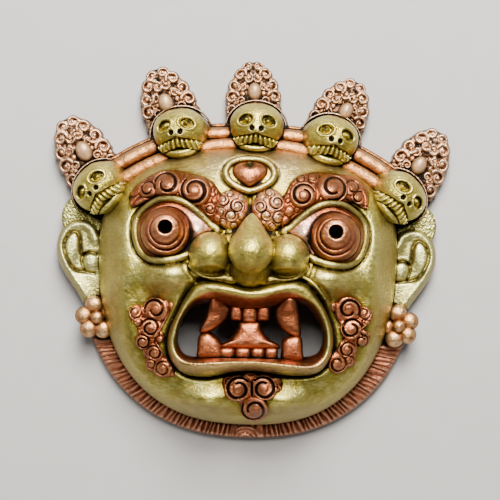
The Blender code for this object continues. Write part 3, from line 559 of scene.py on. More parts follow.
def eye_rings(side):
    """Rings round the pupil: up its tunnel, over the ball, out over the bed to the lid, and back
    under the skin. The ball is a dome with a raised ring round the pupil; each groove is a bell of
    the distance to its circle, times a wave round it."""
    turns = once_round(EYE_COLUMNS)
    directions = pointing(turns)
    centre = np.array([side * EYE_X, EYE_Y])
    edge = polar_reach(through(np.asarray(LID) * (side, 1), 300, closed=True), centre, turns)
    out = np.linspace(PUPIL_RADIUS, BALL_EDGE, BALL_ROWS)[:, None] + 0 * turns
    ball = BALL_BASE_Z + BALL_RISE * np.sqrt(1 - (out / BALL_RADIUS) ** 2)
    ball = ball + 0.7 * steep(out - 7.1, 0.16) - 1.6 * unit(PUPIL_RADIUS + 0.8 - out) ** 2
    cut = np.zeros_like(ball)
    for reach, half_width, depth, left, right in EYE_GROOVES:
        facing = 0.5 + 0.5 * np.cos(turns - math.radians(right if side > 0 else left))
        groove = bell((out - reach) / half_width) * facing ** 1.3
        ball, cut = ball - depth * groove, np.maximum(cut, groove)
    rings = [at_height(centre + directions * PUPIL_RADIUS, z) for z in (EYE_HOLLOW_Z, EYE_RIM_Z)]
    sunk = np.array([0.0, -BALL_DROP])
    for reach, z in zip(out, ball):
        lower = sunk * (reach[0] - PUPIL_RADIUS) / (BALL_EDGE - PUPIL_RADIUS)
        rings.append(at_height(centre + lower + directions * reach[:, None], z))
    ball_foot, lid_foot = centre + sunk + directions * BALL_EDGE, centre + directions * edge[:, None]
    shares = np.linspace(0.03, 1, BED_ROWS)
    for share in shares:
        place = ball_foot * (1 - share) + lid_foot * share
        corner = CORNER_RISE * bell((np.abs(place[:, 0]) - CORNER_X) / 4.6, (place[:, 1] - CORNER_Y) / 5.0)
        bed = (ball[-1] - 0.6) * (1 - share) + (face_height(*place.T) + 1.6) * share
        rings.append(at_height(place, bed + corner - 0.9 * bell(share / 0.12)))
    for share, drop in ((1.0, 5.0), (0.3, 7.0)):
        place = centre + directions * (BALL_EDGE + (edge - BALL_EDGE) * share)[:, None]
        rings.append(at_height(place, face_height(*place.T) - drop))
    rings.append(at_height(centre + directions * (PUPIL_RADIUS + 2.0), EYE_HOLLOW_Z))
    rings = np.array(rings)
    bed = slice(2 + BALL_ROWS, 2 + BALL_ROWS + BED_ROWS)
    carved, pale = np.zeros((2, *rings.shape[:2]))
    carved[:2] = 1.0
    carved[2:2 + BALL_ROWS] = cut
    carved[bed] = bell((shares[:, None] - 0.08) / 0.16) * (0.65 - 0.3 * np.sin(turns))
    # painted highlight: the bed's swollen inner corner is painted pale pink where it catches the light
    pale[bed] = 0.9 * bell((np.abs(rings[bed, :, 0]) - 27.5) / 4.4)
    return shell(rings, loop=True, carved=carved, copper=pale)


def swept(path, widths, heights=None, sides=14, closed=False):
    """An oval carried along a path: at each point the oval stands square to the path's direction,
    its width level and its height upwards."""
    path = np.asarray(path, float)
    widths = np.broadcast_to(widths, len(path))
    heights = widths if heights is None else np.broadcast_to(heights, len(path))
    if closed:
        ahead = np.roll(path, -1, axis=0) - np.roll(path, 1, axis=0)
    else:
        ahead = np.gradient(path, axis=0)
    ahead /= np.linalg.norm(ahead, axis=1, keepdims=True)
    level = np.cross(ahead, (0.0, 0.0, 1.0))
    level /= np.linalg.norm(level, axis=1, keepdims=True) + 1e-9
    upright = np.cross(level, ahead)
    turn = once_round(sides)[None, :, None]
    oval = level[:, None] * widths[:, None, None] * np.cos(turn)
    return path[:, None] + oval + upright[:, None] * heights[:, None, None] * np.sin(turn)


# a pale pink that is a painted highlight in the eyes' inner corners
PAINTED_HIGHLIGHT_PINK = ((0.78, 0.44, 0.30), (0.66, 0.32, 0.20), (1.0, 0.84, 0.72))
OLIVE = ((0.42, 0.31, 0.045), (0.34, 0.23, 0.035), (0.70, 0.60, 0.20))
# a darker olive that is a painted shade, on the upper lids and the nose's foot
PAINTED_SHADE_OLIVE = ((0.22, 0.155, 0.028), (0.17, 0.11, 0.02), (0.36, 0.29, 0.085))
EYE_FINISH = metal_finish("eye_finish", COPPER, PAINTED_HIGHLIGHT_PINK)
LID_FINISH = metal_finish("lid_finish", OLIVE, PAINTED_SHADE_OLIVE)
for side, word in ((-1, "left"), (1, "right")):
    cast(f"eye_{word}", [eye_rings(side)], EYE_FINISH)
    lid = through(np.asarray(LID) * (side, 1), 200, closed=True)
    upper = bell((lid[:, 1] - 23.0) / 8.0)
    lift = at_height(lid, face_height(*lid.T) + 0.9 + 1.9 * upper)
    roll = swept(lift, 2.0 - 0.1 * upper, 1.9 + 0.1 * upper, closed=True)
    # painted shade: the upper lid, which faces down under the brow, is painted darker olive
    cast(f"lid_{word}", [shell(roll, loop=True, copper=0.7 * upper[:, None])], LID_FINISH)


# The third eye stands upright over the nose: a copper drop with a pit near its round top, in a
# black groove, and a green rim round it. It is carved in the casting.

DROP = (
    (-1.2, 31.6), (3.4, 34.2), (7.2, 37.8), (8, 41.2), (5.6, 44.2), (1.6, 45.3), (-1.2, 44.8), (-4, 45.3),
    (-8, 44.2), (-10.4, 41.2), (-9.6, 37.8), (-5.8, 34.2),
)
PIT = (-1.4, 43.4)
DROP_BASE_Z, DROP_RISE = 36.0, 6.0


def dome_rings(outline, height, base, rows=40, crowded=0.5):
    """Rings from the middle of an outline out to it at a height that depends on place and share,
    then straight down to the base and back to the middle. Crowded sets how much closer together
    the rings are near the outline."""
    centre = outline.mean(axis=0)
    even = np.linspace(0, 1, rows + 1)[1:]
    shares = ((1 - crowded) * even + crowded * np.sin(even * math.pi / 2))[:, None]
    place = centre + (outline - centre) * shares[:, :, None]
    top = np.dstack([place, height(place[..., 0], place[..., 1], shares)])
    under = np.dstack([place[[-1, rows // 2, 0]], np.full((3, len(outline)), float(base))])
    return np.vstack([top, under])


def drop_height(x, y, share):
    """A drop that swells from its edge, with an oval pit that has a bead in it."""
    swell = np.sqrt(unit(1 - share ** 2.4))
    out = np.hypot((x - PIT[0]) / 2.9, (y - PIT[1]) / 1.6)
    pit = 2.2 * bell(out ** 2) - 1.2 * bell(out / 0.45)
    return face_height(x, y) - 1.0 + DROP_RISE * swell - pit


drop = dome_rings(through(DROP, 100, closed=True), drop_height, DROP_BASE_Z, rows=28)
pit = bell(((drop[..., 0] - PIT[0]) / 2.5) ** 2 + ((drop[..., 1] - PIT[1]) / 1.4) ** 2)
cast("third_eye", [shell(drop, carved=pit)], COPPER_FINISH)
rim = through(THIRD_EYE_RIM, 120, closed=True)
rim = at_height(rim, face_height(*rim.T) + 0.8)
cast("third_eye_rim", [shell(swept(rim, 1.75, 2.0, closed=True), loop=True)], LID_FINISH)


# The nose is a pointed bulb that runs down to the lip between two round wings. A nostril is hollowed
# under each wing, and a thin ridge stands where the wing meets the bulb. All of it is green-gold, with
# painted shade: darker olive towards its foot, and dark in the nostrils and along the rim under them.

# y, half width, height of the front
BULB = (
    (18.8, 1.4, 53), (17, 3, 56), (14.3, 4.6, 60), (9.5, 7.5, 65.6), (5, 10.3, 70.8), (0.4, 11.3, 73),
    (-3.8, 10.8, 72.4), (-7, 9.1, 70.2), (-10, 6.6, 66.4), (-12.6, 3, 60.5),
)
SEPTUM = (
    (-4, 9, 62.5), (-8, 10.5, 62.5), (-12, 10.6, 60.6), (-15.4, 9.8, 57.8), (-18, 7.6, 54.8),
    (-20.2, 3.8, 51),
)
BULB_X, NOSE_BASE_Z = 0.5, 40.0
BULB_DEEP, SEPTUM_DEEP = 1.3, 1.15         # height of the half ellipses, as shares of their half widths
WING_RADII, WING_BASE_Z, WING_RISE = (11.0, 11.2), 48.6, 14.6
WING_X, WING_Y = 19.6, -2.6
BASE_RADII, BASE_RISE = (29.0, 12.2), 5.0
NOSTRIL_X, NOSTRIL_Y, NOSTRIL_RADII, NOSTRIL_DEPTH = 18.4, -11.2, (6.0, 2.4), 3.8
NOSTRIL_RIM = ((28.6, -8.2), (24.6, -11.9), (18.5, -13.7), (12.5, -14.6), (8, -15.8))
BLEND = 1.1                 # how softly the nose's forms run into each other, in mm
NOSE_RIDGE = ((21, 8.4), (16.6, 8.2), (13, 6.6), (11.6, 3.4))
NOSE_OUTLINE = (
    (0.5, 18.6), (4.2, 15.4), (8, 12), (13, 9.8), (20, 9.6), (27.2, 6.6), (31.8, 0), (31.8, -6.6),
    (28.4, -12.2), (22.4, -15.4), (15.4, -17), (8.6, -19.6), (0.5, -20.9), (-7.6, -19.6), (-14.8, -17),
    (-22, -15.4), (-28.4, -12.2), (-32.2, -6.6), (-32.2, 0), (-27.4, 6.6), (-20, 9.6), (-12.4, 9.8),
    (-7, 12), (-3.2, 15.4),
)


def two_highest(x, y, rolls, power=0.5):
    """Heights of the highest and the next highest of round rolls laid along paths: for the nearest
    part of each, its height times a power, mostly the root, of 1 less its distance over its half
    width, squared."""
    best, second = np.zeros(x.size), np.zeros(x.size)
    flat_x, flat_y = x.ravel(), y.ravel()
    for path, widths, heights in rolls:
        margin = widths.max()
        low, high = path.min(axis=0) - margin, path.max(axis=0) + margin
        near = np.flatnonzero((flat_x > low[0]) & (flat_x < high[0]) & (flat_y > low[1]) & (flat_y < high[1]))
        if not len(near):
            continue
        away, share = away_from(flat_x[near], flat_y[near], path)
        width = widths[:-1] + np.diff(widths) * share
        height = heights[:-1] + np.diff(heights) * share
        over = (height * np.clip(1 - (away / width) ** 2, 0, None) ** power).max(axis=-1)
        second[near] = np.maximum(second[near], np.minimum(best[near], over))
        best[near] = np.maximum(best[near], over)
    return best.reshape(x.shape), second.reshape(x.shape)


def rolls_over(x, y, rolls, power=0.5):
    """Height of the highest of round rolls laid along paths."""
    return two_highest(x, y, rolls, power)[0]


def bead_line(points, width, height):
    """A roll along a smooth path, as wide and as high all the way."""
    path = through(points, 30)
    return path, np.full(len(path), width), np.full(len(path), height)


def half_ellipses(x, y, stations, deep):
    """Half ellipses across the nose, of the half width and the height that each y has."""
    stations = through(stations, 70)[::-1]
    half, front = (np.interp(y, stations[:, 0], stations[:, k]) for k in (1, 2))
    z = front - deep * half * (1 - np.sqrt(np.clip(1 - ((x - BULB_X) / half) ** 2, 0, None)))
    z = np.where(np.abs(x - BULB_X) < half, z, 0.0)
    return np.where((y < stations[-1, 0]) & (y > stations[0, 0]), z, 0.0)


def ellipse_dome(x, y, radii, base, rise):
    """A dome over an ellipse: the rise times the root of 1 less both shares of its radii, squared."""
    inside = 1 - (x / radii[0]) ** 2 - (y / radii[1]) ** 2
    return np.where(inside > 0, base + rise * np.sqrt(np.clip(inside, 0, None)), 0.0)


def nose_height(x, y, share):
    """The skin, the bulb, the septum, two wings, a low base and the nostrils' rims, blended by the
    logarithm of the sum of their powers; then a steep-sided oval hollow for each nostril."""
    beside = np.abs(x + 0.4)
    rim = rolls_over(beside, y, [bead_line(NOSTRIL_RIM, 2.1, 2.0)])
    forms = (
        face_height(x, y) - 1.2,
        half_ellipses(x, y, BULB, BULB_DEEP), half_ellipses(x, y, SEPTUM, SEPTUM_DEEP),
        ellipse_dome(beside - WING_X, y - WING_Y, WING_RADII, WING_BASE_Z, WING_RISE),
        ellipse_dome(x, y + 3.5, BASE_RADII, WING_BASE_Z, BASE_RISE), np.where(rim > 0, 51.8 + rim, 0.0),
    )
    highest = np.maximum.reduce(forms)
    z = highest + BLEND * np.log(sum(np.exp((form - highest) / BLEND) for form in forms))
    z = z + 0.8 * rolls_over(beside, y, [bead_line(NOSE_RIDGE, 0.9, 1.1)])
    out = ((beside - NOSTRIL_X) / NOSTRIL_RADII[0]) ** 2 + ((y - NOSTRIL_Y) / NOSTRIL_RADII[1]) ** 2
    return z - NOSTRIL_DEPTH * steep(out - 1, 0.3)


def nostril_painted_shade(x, y):
    """Painted shade: a soft dark bell in each nostril, and another along the rim under it."""
    beside = np.abs(x + 0.4)
    rim = 0.62 * bell((y + 15.3) / 1.9) * unit((beside - 6.0) / 3.0)
    hollow = 0.5 * bell(((beside - NOSTRIL_X) / 5.4) ** 2, (y - NOSTRIL_Y) / 1.9)
    return np.maximum(hollow, rim)


NOSE_FINISH = metal_finish("nose_finish", GREEN_GOLD, PAINTED_SHADE_OLIVE)
nose = dome_rings(through(NOSE_OUTLINE, 220, closed=True), nose_height, NOSE_BASE_Z, rows=84, crowded=0.1)
# painted shade: the nose is painted darker olive towards its foot, which faces away from the light
foot = unit((-6.5 - nose[..., 1]) / 7.0) * 0.9
nose = shell(nose, carved=nostril_painted_shade(nose[..., 0], nose[..., 1]), copper=foot)
cast("nose", [nose], NOSE_FINISH, wiped=0.55)


# The lips are one thick roll round the open mouth, green-gold outside and copper inside, where the
# upper lip slopes in to the gums. They stand in a soft black line on the face.

LIP_Z, LIP_CORNER_Z, MOUTH_FOOT_Z = 56.6, 47.6, 36.4
LIP_COLUMNS, LIP_OUTER_ROWS, LIP_INNER_ROWS = 320, 18, 24
LIP_FINISH = metal_finish("lip_finish", GREEN_GOLD, COPPER)
SECOND_LINE = ((12.5, -13.6), (20, -12.2), (27.5, -13), (33.8, -17.2), (38.8, -23.5))


def lip_rings():
    """Rings round the mouth: from the outer foot up a quarter ellipse to the crest, down a slope
    that steepens to the gum, down the wall of the hole, and back under the skin."""
    angles = once_round(LIP_COLUMNS)
    centre, directions = np.array([MOUTH_X, MOUTH_Y]), pointing(angles)
    outer, crest, gum = (
        centre + directions * polar_reach(through(outline, 500, closed=True), centre, angles)[:, None]
        for outline in (LIP_OUTER, LIP_CREST, GUM)
    )
    corner = np.minimum(np.abs(crest[:, 0] - MOUTH_X) / 40.0, 1.0)
    high = LIP_Z - (LIP_Z - LIP_CORNER_Z) * corner ** 2
    foot = skin(*outer.T) - 1.0
    wide = np.hypot(*(crest - gum).T)
    deep = high - np.clip(2.5 + 0.9 * wide, 0, 9.0)
    lower = unit((MOUTH_Y - 8.0 - crest[:, 1]) / 6.0)
    rings, copper = [], []
    for share in np.linspace(0, 1, LIP_OUTER_ROWS):
        place = outer + (crest - outer) * (1 - math.cos(share * math.pi / 2)) ** 0.85
        rings.append(at_height(place, foot + (high - foot) * math.sin(share * math.pi / 2)))
        copper.append(0.6 * lower * share)
    for share in np.linspace(0, 1, LIP_INNER_ROWS)[1:]:
        rings.append(at_height(crest + (gum - crest) * share, high - (high - deep) * share ** 1.6))
        copper.append(unit(share * wide / 1.5 - 0.9 + 1.2 * lower))
    for share in (0.15, 0.4, 0.7, 1.0):
        rings.append(at_height(gum, deep * (1 - share) + MOUTH_FOOT_Z * share))
        copper.append(np.ones(LIP_COLUMNS))
    rings.append(at_height(gum + (crest - gum) * 1.1, MOUTH_FOOT_Z + 0.4))
    rings.append(at_height(outer, foot - 4.0))
    copper += [np.ones(LIP_COLUMNS), np.zeros(LIP_COLUMNS)]
    return shell(np.array(rings), loop=True, copper=np.array(copper))


second = through(SECOND_LINE, 60)
second = swept(at_height(second, face_height(*second.T) + 0.4), 0.8, 1.1, sides=10)
cast("lips", [lip_rings(), shell(second)], LIP_FINISH)


# Teeth, fangs and tongue stand in the open mouth, all in copper. They are carved on one band at
# the back of the lips, three teeth over the tongue and four under it, with two fangs a side.

TEETH_Z = 46.4
TEETH_BACK_Z = 34.5
UPPER_TEETH = ((-9.2, -2.7, -36.2, -27.6), (-3.3, 4.9, -36.8, -27.6), (4.3, 11.1, -35.9, -27.2))
LOWER_TEETH = (
    (-14.7, -5.8, -56.6, -49.8), (-6.3, 2.2, -56.6, -49.6), (1.7, 9.3, -56.6, -49.4),
    (8.8, 15.8, -56.6, -49.2),
)
FANGS = {
    "fang_upper_left": (
        (-19, -24.3), (-20.6, -29.4), (-21.8, -35), (-24.6, -41.6), (-23.2, -43.4), (-18.4, -42.2),
        (-13.8, -38.8), (-10.4, -34.8), (-9, -30.4), (-12.4, -26.8), (-16.6, -24),
    ),
    "fang_upper_right": (
        (16.2, -26.4), (13.6, -30.6), (14.6, -36), (18.4, -41), (23.6, -44), (27, -43.4), (26.8, -36.6),
        (25.6, -29.5), (23.8, -24.6), (20.4, -23),
    ),
    "fang_lower_left": (
        (-24.6, -57), (-25.4, -51), (-25, -45.2), (-22, -42.6), (-18.6, -43), (-14.6, -46), (-12.4, -50.4),
        (-12.2, -57),
    ),
    "fang_lower_right": (
        (18.2, -57), (17.6, -50.6), (18, -45.6), (20.8, -43.4), (25.4, -42.6), (27.8, -44.6), (28.4, -50),
        (28.2, -57),
    ),
}
TONGUE = (
    (1.2, -35.4), (6, -36.2), (7, -39.6), (9.2, -43.4), (12.6, -46.4), (16.2, -48), (15.6, -50.2),
    (1.8, -51.4), (-13.2, -50.8), (-13.8, -48.8), (-9.8, -46.6), (-7, -43.2), (-5.2, -39.8), (-4.2, -36.4),
)


def squared_outline(low_x, high_x, low_y, high_y):
    """A squared oval in a box: the sine and cosine of the turn, each raised to a power below 1."""
    turn = once_round(56)
    u = np.sign(np.cos(turn)) * np.abs(np.cos(turn)) ** 0.48
    v = np.sign(np.sin(turn)) * np.abs(np.sin(turn)) ** 0.58
    middle = np.array([(low_x + high_x) / 2, (low_y + high_y) / 2])
    return middle + np.column_stack([u * (high_x - low_x) / 2, v * (high_y - low_y) / 2])


def tooth_height(x, y, share):
    """A front that rounds over towards its edges."""
    return TEETH_Z - 2.0 * share ** 4 + 0 * x


def fang_height(x, y, share):
    """A front that is domed to its edge, and climbs on to the upper lip at its root."""
    return TEETH_Z - 4.0 + 4.6 * np.sqrt(1 - share ** 3.4) + 5.6 * unit((y + 33.5) / 9.0) ** 2


def tongue_height(x, y, share):
    """A dome that slopes down towards its root."""
    return TEETH_Z - 4.5 + 4.2 * np.sqrt(1 - share ** 3) + 0.06 * (-50 - y)


TONGUE_COPPER = ((0.42, 0.110, 0.035), (0.30, 0.06, 0.02), (0.74, 0.30, 0.14))
DARK_COPPER = ((0.33, 0.085, 0.028), (0.23, 0.048, 0.017), (0.60, 0.25, 0.115))
TONGUE_FINISH = metal_finish("tongue_finish", TONGUE_COPPER, bump=0.00026)
TEETH_FINISH = metal_finish("teeth_finish", DARK_COPPER, bump=0.00026)
for row, finish, teeth in (("upper", TONGUE_FINISH, UPPER_TEETH), ("lower", TEETH_FINISH, LOWER_TEETH)):
    for place, size in enumerate(teeth):
        tooth = dome_rings(squared_outline(*size), tooth_height, TEETH_BACK_Z, rows=12)
        cast(f"tooth_{row}_{place + 1}", [shell(tooth)], finish, wiped=0.25)
for name, points in FANGS.items():
    fang = dome_rings(through(points, 80, closed=True), fang_height, TEETH_BACK_Z, rows=18, crowded=0.8)
    cast(name, [shell(fang)], TEETH_FINISH if "upper" in name else TONGUE_FINISH, wiped=0.3)
tongue = dome_rings(through(TONGUE, 100, closed=True), tongue_height, TEETH_BACK_Z, rows=18, crowded=0.8)
cast("tongue", [shell(tongue)], TONGUE_FINISH)


# The brows are copper bands of fat round scrolls that sweep from a knob of curls by the nose up and
# out to a hooked tail. Each scroll is a domed disc with a spiral cut round the ball at its heart.

BROW_EDGES = {
    "left": (
        (
            (-16, 11), (-20.4, 12.8), (-24, 15.6), (-27.4, 19.2), (-31, 22.4), (-35, 24.8), (-40, 25.6),
            (-45.5, 25.4), (-50.4, 24.6), (-54.6, 22.4), (-58, 20.4), (-61.2, 19.4),
        ),
        (
            (-14.6, 27), (-16.8, 30.6), (-19.4, 33.8), (-23.4, 36.2), (-29.4, 37.6), (-35.4, 39.4),
            (-41.4, 39.8), (-47.2, 39), (-53.2, 36.6), (-57.6, 33), (-61.6, 29.2), (-63.4, 25.6),
        ),
    ),
    "right": (
        (
            (16, 10.6), (20, 14), (24.2, 17.4), (29.2, 20.8), (35, 23.4), (41, 24.7), (47, 25.3),
            (52, 25.6), (55.4, 23.4), (57.8, 22.6), (59.4, 22.4),
        ),
        (
            (15.6, 26.4), (17.4, 30.8), (19.4, 34.6), (22.4, 38), (27, 40), (32.9, 41.2), (38.9, 41.1),
            (45, 40.5), (51.2, 39.7), (56.6, 36.8), (59.8, 31.6), (60.4, 26),
        ),
    ),
}


PACKED = 1.28                   # how much wider than drawn each form is, so that it meets its neighbours
CURL_RADIUS = 2.3               # what is smaller is a plain dot


def dot(x, y, radius, lift=0.6, packed=PACKED):
    """A round swell: a roll on a path too short to see."""
    return "swell", np.array([(x, y), (x, y + 1e-3)]), np.full(2, radius * packed), np.full(2, radius * lift)


def tapered(points, width, thin, count):
    """A path and its widths, which shrink to a thin share of themselves at both ends."""
    share = np.linspace(-1, 1, count)
    return through(points, count), width * (thin + (1 - thin) * (1 - share ** 2) ** 0.5)


def lobe(points, width, lift=0.55):
    """A swell along a path, thinner at both ends."""
    path, widths = tapered(points, width, 0.35, 20)
    return "swell", path, widths * PACKED, widths * lift


def cut(points, width, depth):
    """A cut along a path, thinner at both ends."""
    path, widths = tapered(points, width, 0.4, 16)
    return "cut", path, widths, widths * depth / width


def winding(x, y, start, hand, turns, reach):
    """A path that winds round a place from the start angle to either hand, at a reach that changes."""
    angle = math.radians(start) + hand * math.tau * turns * np.linspace(0, 1, len(reach))
    return np.column_stack([x + reach * np.cos(angle), y + reach * np.sin(angle)])


def scroll(x, y, radius, start, hand, turns=1.15, heart=0.34):
    """A fat scroll: a domed disc, a cut that winds from its rim in to the heart, its reach shrinking
    evenly with the turn, and a ball at the heart."""
    share = np.linspace(0, 1, 28)
    path = winding(x, y, start, hand, turns, radius * (1.03 + (heart + 0.13 - 1.03) * share))
    widths = radius * 0.16 * (0.6 + share * (1 - share) * 2)
    ball = "ball", *dot(x, y, radius * heart, 0.55, packed=1.0)[1:]
    return [dot(x, y, radius, 0.5), ("cut", path, widths, radius * (0.32 - 0.10 * share)), ball]


def fern(x, y, radius, start, hand):
    """A raised curl: a round strip that winds in from the rim, thinner as it goes, and a ball."""
    share = np.linspace(0, 1, 26)
    path = winding(x, y, start, hand, 1.1, radius * (0.92 - 0.62 * share))
    strip = "swell", path, radius * (0.36 - 0.12 * share), radius * (0.50 - 0.08 * share)
    return [strip, dot(x, y, radius * 0.30, 1.5)]


def curls(places):
    """A scroll at each place, wound to either hand in turn, and a dot where it is small."""
    forms = []
    for count, (x, y, radius) in enumerate(places):
        wound = scroll(x, y, radius, 137.5 * count, 1 if count % 2 else -1)
        forms += wound if radius > CURL_RADIUS else [dot(x, y, radius)]
    return forms


def carving(scrolls, places, lobes=(), cuts=()):
    """All the forms of one carved piece."""
    forms = [form for row in scrolls for form in scroll(*row)] + curls(places)
    return forms + [lobe(*row) for row in lobes] + [cut(*row) for row in cuts]


def relief(x, y, forms, ground):
    """Height of carved forms over their ground, and where the black wash is left: the highest swell
    less the deepest cut, and a ball on it. Black stays in the cuts, where two forms meet, and, by
    its share, on the ground."""
    swell, next_swell = two_highest(x, y, [form[1:] for form in forms if form[0] == "swell"])
    lines = [form[1:] for form in forms if form[0] == "cut"]
    cuts = rolls_over(x, y, lines, power=1.5)
    line = rolls_over(x, y, [(path, widths, np.ones_like(widths)) for path, widths, _ in lines], power=1.0)
    ball = rolls_over(x, y, [form[1:] for form in forms if form[0] == "ball"])
    meeting = unit(1 - (swell - next_swell) / 0.28) * (next_swell > 0.1)
    black = np.maximum(0.85 * unit((line - 0.60) / 0.25) * (ball < 0.25), 0.7 * meeting)
    black = np.maximum(black, ground * unit(1 - swell / 0.5))
    return swell - cuts + 0.45 * ball - 0.35 * meeting, black


def blackened(rings, forms, ground):
    """How black the wash leaves each point of the rings."""
    return relief(rings[..., 0], rings[..., 1], forms, ground)[1]


def band_rings(low_edge, high_edge, height, base, rows, columns):
    """Sections across a band between two edges: the top at a height that depends on place and
    share across, then back under it at the base."""
    low, high = through(low_edge, rows), through(high_edge, rows)
    share = np.linspace(0, 1, columns)
    place = low[:, None] + (high - low)[:, None] * share[:, None]
    top = np.dstack([place, height(place[..., 0], place[..., 1], share)])
    under = place[:, [-1, columns // 2, 0]]
    return np.hstack([top, np.dstack([under, np.full(under.shape[:2], float(base))])])


# scrolls: place x and y, radius, start, hand, turns, heart; curls: place x and y, radius;
# lobes: points, width, height as a share of it
BROW_FORMS = {
    "left": (
        (
            (-28.8, 29.4, 6.9, 132, 1, 1.2, 0.38), (-43.4, 32.6, 6.3, 205, -1, 1.1),
            (-53.2, 29.6, 4.2, 20, 1, 0.9), (-20.8, 20, 2.7, 30, -1),
        ),
        (
            (-32.4, 36.6, 2.3), (-26.2, 36, 2.3), (-21.2, 33.6, 2.3), (-19.4, 27.4, 1.6), (-18.6, 24, 1.5),
            (-36.6, 33.6, 1.7), (-48.8, 35.8, 2), (-24.6, 21, 1.7), (-16.8, 15.8, 1.7),
        ),
        (
            (((-62.2, 21.4), (-59.8, 26.2), (-54.8, 32.6), (-49, 37.2)), 2),
            (((-60.6, 20.6), (-56, 23.6), (-50, 25.6)), 1.8),
            (((-51, 26.6), (-44.6, 26.8), (-38, 26.6), (-34.4, 24.6)), 1.9),
            (((-38.4, 37.6), (-37.4, 33), (-38, 28.6)), 1.7),
            (((-33.4, 23.4), (-27.8, 21.8), (-24, 17.4)), 1.6),
            (((-17.4, 31), (-18.6, 26), (-17.6, 20.4)), 1.3), (((-62, 25.4), (-58, 30), (-52, 34.6)), 2.6),
            (((-57, 26.4), (-52, 29), (-48.6, 30.4)), 2.2),
            (((-61, 22.6), (-51, 31), (-40, 33.4), (-28, 30), (-18, 21)), 7.4, 0.12),
        ),
    ),
    "right": (
        (
            (26, 28.6, 5.8, 20, 1, 1.15, 0.36), (41.5, 33.2, 6.7, 250, 1, 1.15),
            (51.8, 33.6, 3.9, 150, -1, 0.9), (55, 28.4, 3.5, 60, 1, 0.8),
        ),
        (
            (20.8, 36, 2.2), (25, 37.4, 2.6), (31, 38, 2.9), (18.6, 30.4, 1.5), (18.4, 25.4, 1.5),
            (19.2, 20, 2.1), (34.2, 33.2, 1.8), (23.4, 21, 1.6), (47.2, 36.6, 1.9), (17.4, 15.4, 1.7),
        ),
        (
            (((34.6, 39.4), (33.6, 34), (33.2, 27.6), (30, 23.6)), 1.9),
            (((57.4, 23.8), (59, 28.6), (56.8, 34), (52, 38)), 1.7),
            (((35, 25.6), (42, 26.4), (49.6, 26.6)), 1.7), (((45.6, 39.2), (48, 34.6), (47.6, 29)), 1.6),
            (((29.6, 22.4), (25.6, 20), (21, 16.4)), 1.3), (((59.4, 25), (58.6, 31), (55, 36.6)), 2.6),
            (((60, 25), (51, 33.4), (40, 33.6), (28, 30), (18, 22)), 7.6, 0.12),
        ),
    ),
}
KNOBS = {
    "left": (
        (-10, 20.4), (8.8, 10.4),
        (
            (-14.7, 24.9, 3.2), (-7, 22, 3.4), (-10, 16.9, 3.2), (-15.6, 18.6, 2.7), (-11.2, 28.1, 2.4),
            (-4.5, 26.2, 2.2), (-14.6, 12.9, 2.6), (-8.8, 11.8, 2.6), (-4.3, 16.8, 2.2),
        ),
    ),
    "right": (
        (9.1, 20.8), (8.9, 11.2),
        (
            (4.6, 22.1, 3.1), (12.8, 24.4, 3.7), (7.8, 17.7, 2.9), (14, 16.6, 3.5), (3.2, 16.9, 2.2),
            (9, 29.2, 2.8), (4.2, 27.6, 2.2), (10.6, 12, 2.6), (6.2, 12.9, 2.1),
        ),
    ),
}
BROW_GROUND, KNOB_GROUND = 0.5, 0.25            # how black the ground between the forms is
BROW_BASE_Z, KNOB_BASE_Z = 20.0, 40.0
BROW_RISE, KNOB_RISE = 3.4, 6.2
CARVING, FINE_CARVING = 1.15, 1.2               # how much higher than drawn the forms stand
BROW_SECTIONS, BROW_COLUMNS = 200, 62
BROW_COPPER = ((0.42, 0.11, 0.036), (0.26, 0.052, 0.018), (0.82, 0.37, 0.17))
BROW_FINISH = metal_finish("brow_finish", BROW_COPPER)
# copper painted paler and pinker than the brows', a painted highlight on the knobs
KNOB_COPPER_AND_HIGHLIGHT = ((0.60, 0.25, 0.11), (0.46, 0.14, 0.05), (1.0, 0.68, 0.42))
KNOB_FINISH = metal_finish("knob_finish", KNOB_COPPER_AND_HIGHLIGHT)
for word in ("left", "right"):
    forms = carving(*BROW_FORMS[word])

    def brow_height(x, y, share):
        """The skin, a rounded band on it, and the scrolls on the band."""
        band = BROW_RISE * unit(1 - (2 * share - 1) ** 4) ** 0.5 - 1.0
        return face_height(x, y) + band + CARVING * relief(x, y, forms, 0)[0]

    rings = band_rings(*BROW_EDGES[word], brow_height, BROW_BASE_Z, BROW_SECTIONS, BROW_COLUMNS)
    tail = 0.55 * unit((np.abs(rings[..., 0]) - 55.0) / 5.0)
    black = np.maximum(blackened(rings, forms, BROW_GROUND), tail)
    cast(f"brow_{word}", [shell(rings, carved=black)], BROW_FINISH)

    middle, radii, places = KNOBS[word]
    forms = curls(places) + [dot(*middle, 9.0, 0.1)]

    def knob_height(x, y, share):
        """A dome with curls wound on it."""
        dome_z = face_height(x, y) - 2.0 + KNOB_RISE * np.sqrt(unit(1 - share ** 2.6))
        return dome_z + FINE_CARVING * relief(x, y, forms, 0)[0]

    outline = middle + pointing(once_round(160)) * radii
    rings = dome_rings(outline, knob_height, KNOB_BASE_Z, rows=46, crowded=0.3)
    knob = shell(rings, carved=blackened(rings, forms, KNOB_GROUND))
    cast(f"brow_knob_{word}", [knob], KNOB_FINISH, wiped=0.6)


# Beside the mouth and under the lower lip hang tufts of curls in copper, each a low cushion of
# scrolls raised on the cheek or the chin.

TUFT_GROUND, TUFT_RISE, TUFT_DEPTH = 0.6, 2.0, 6.0
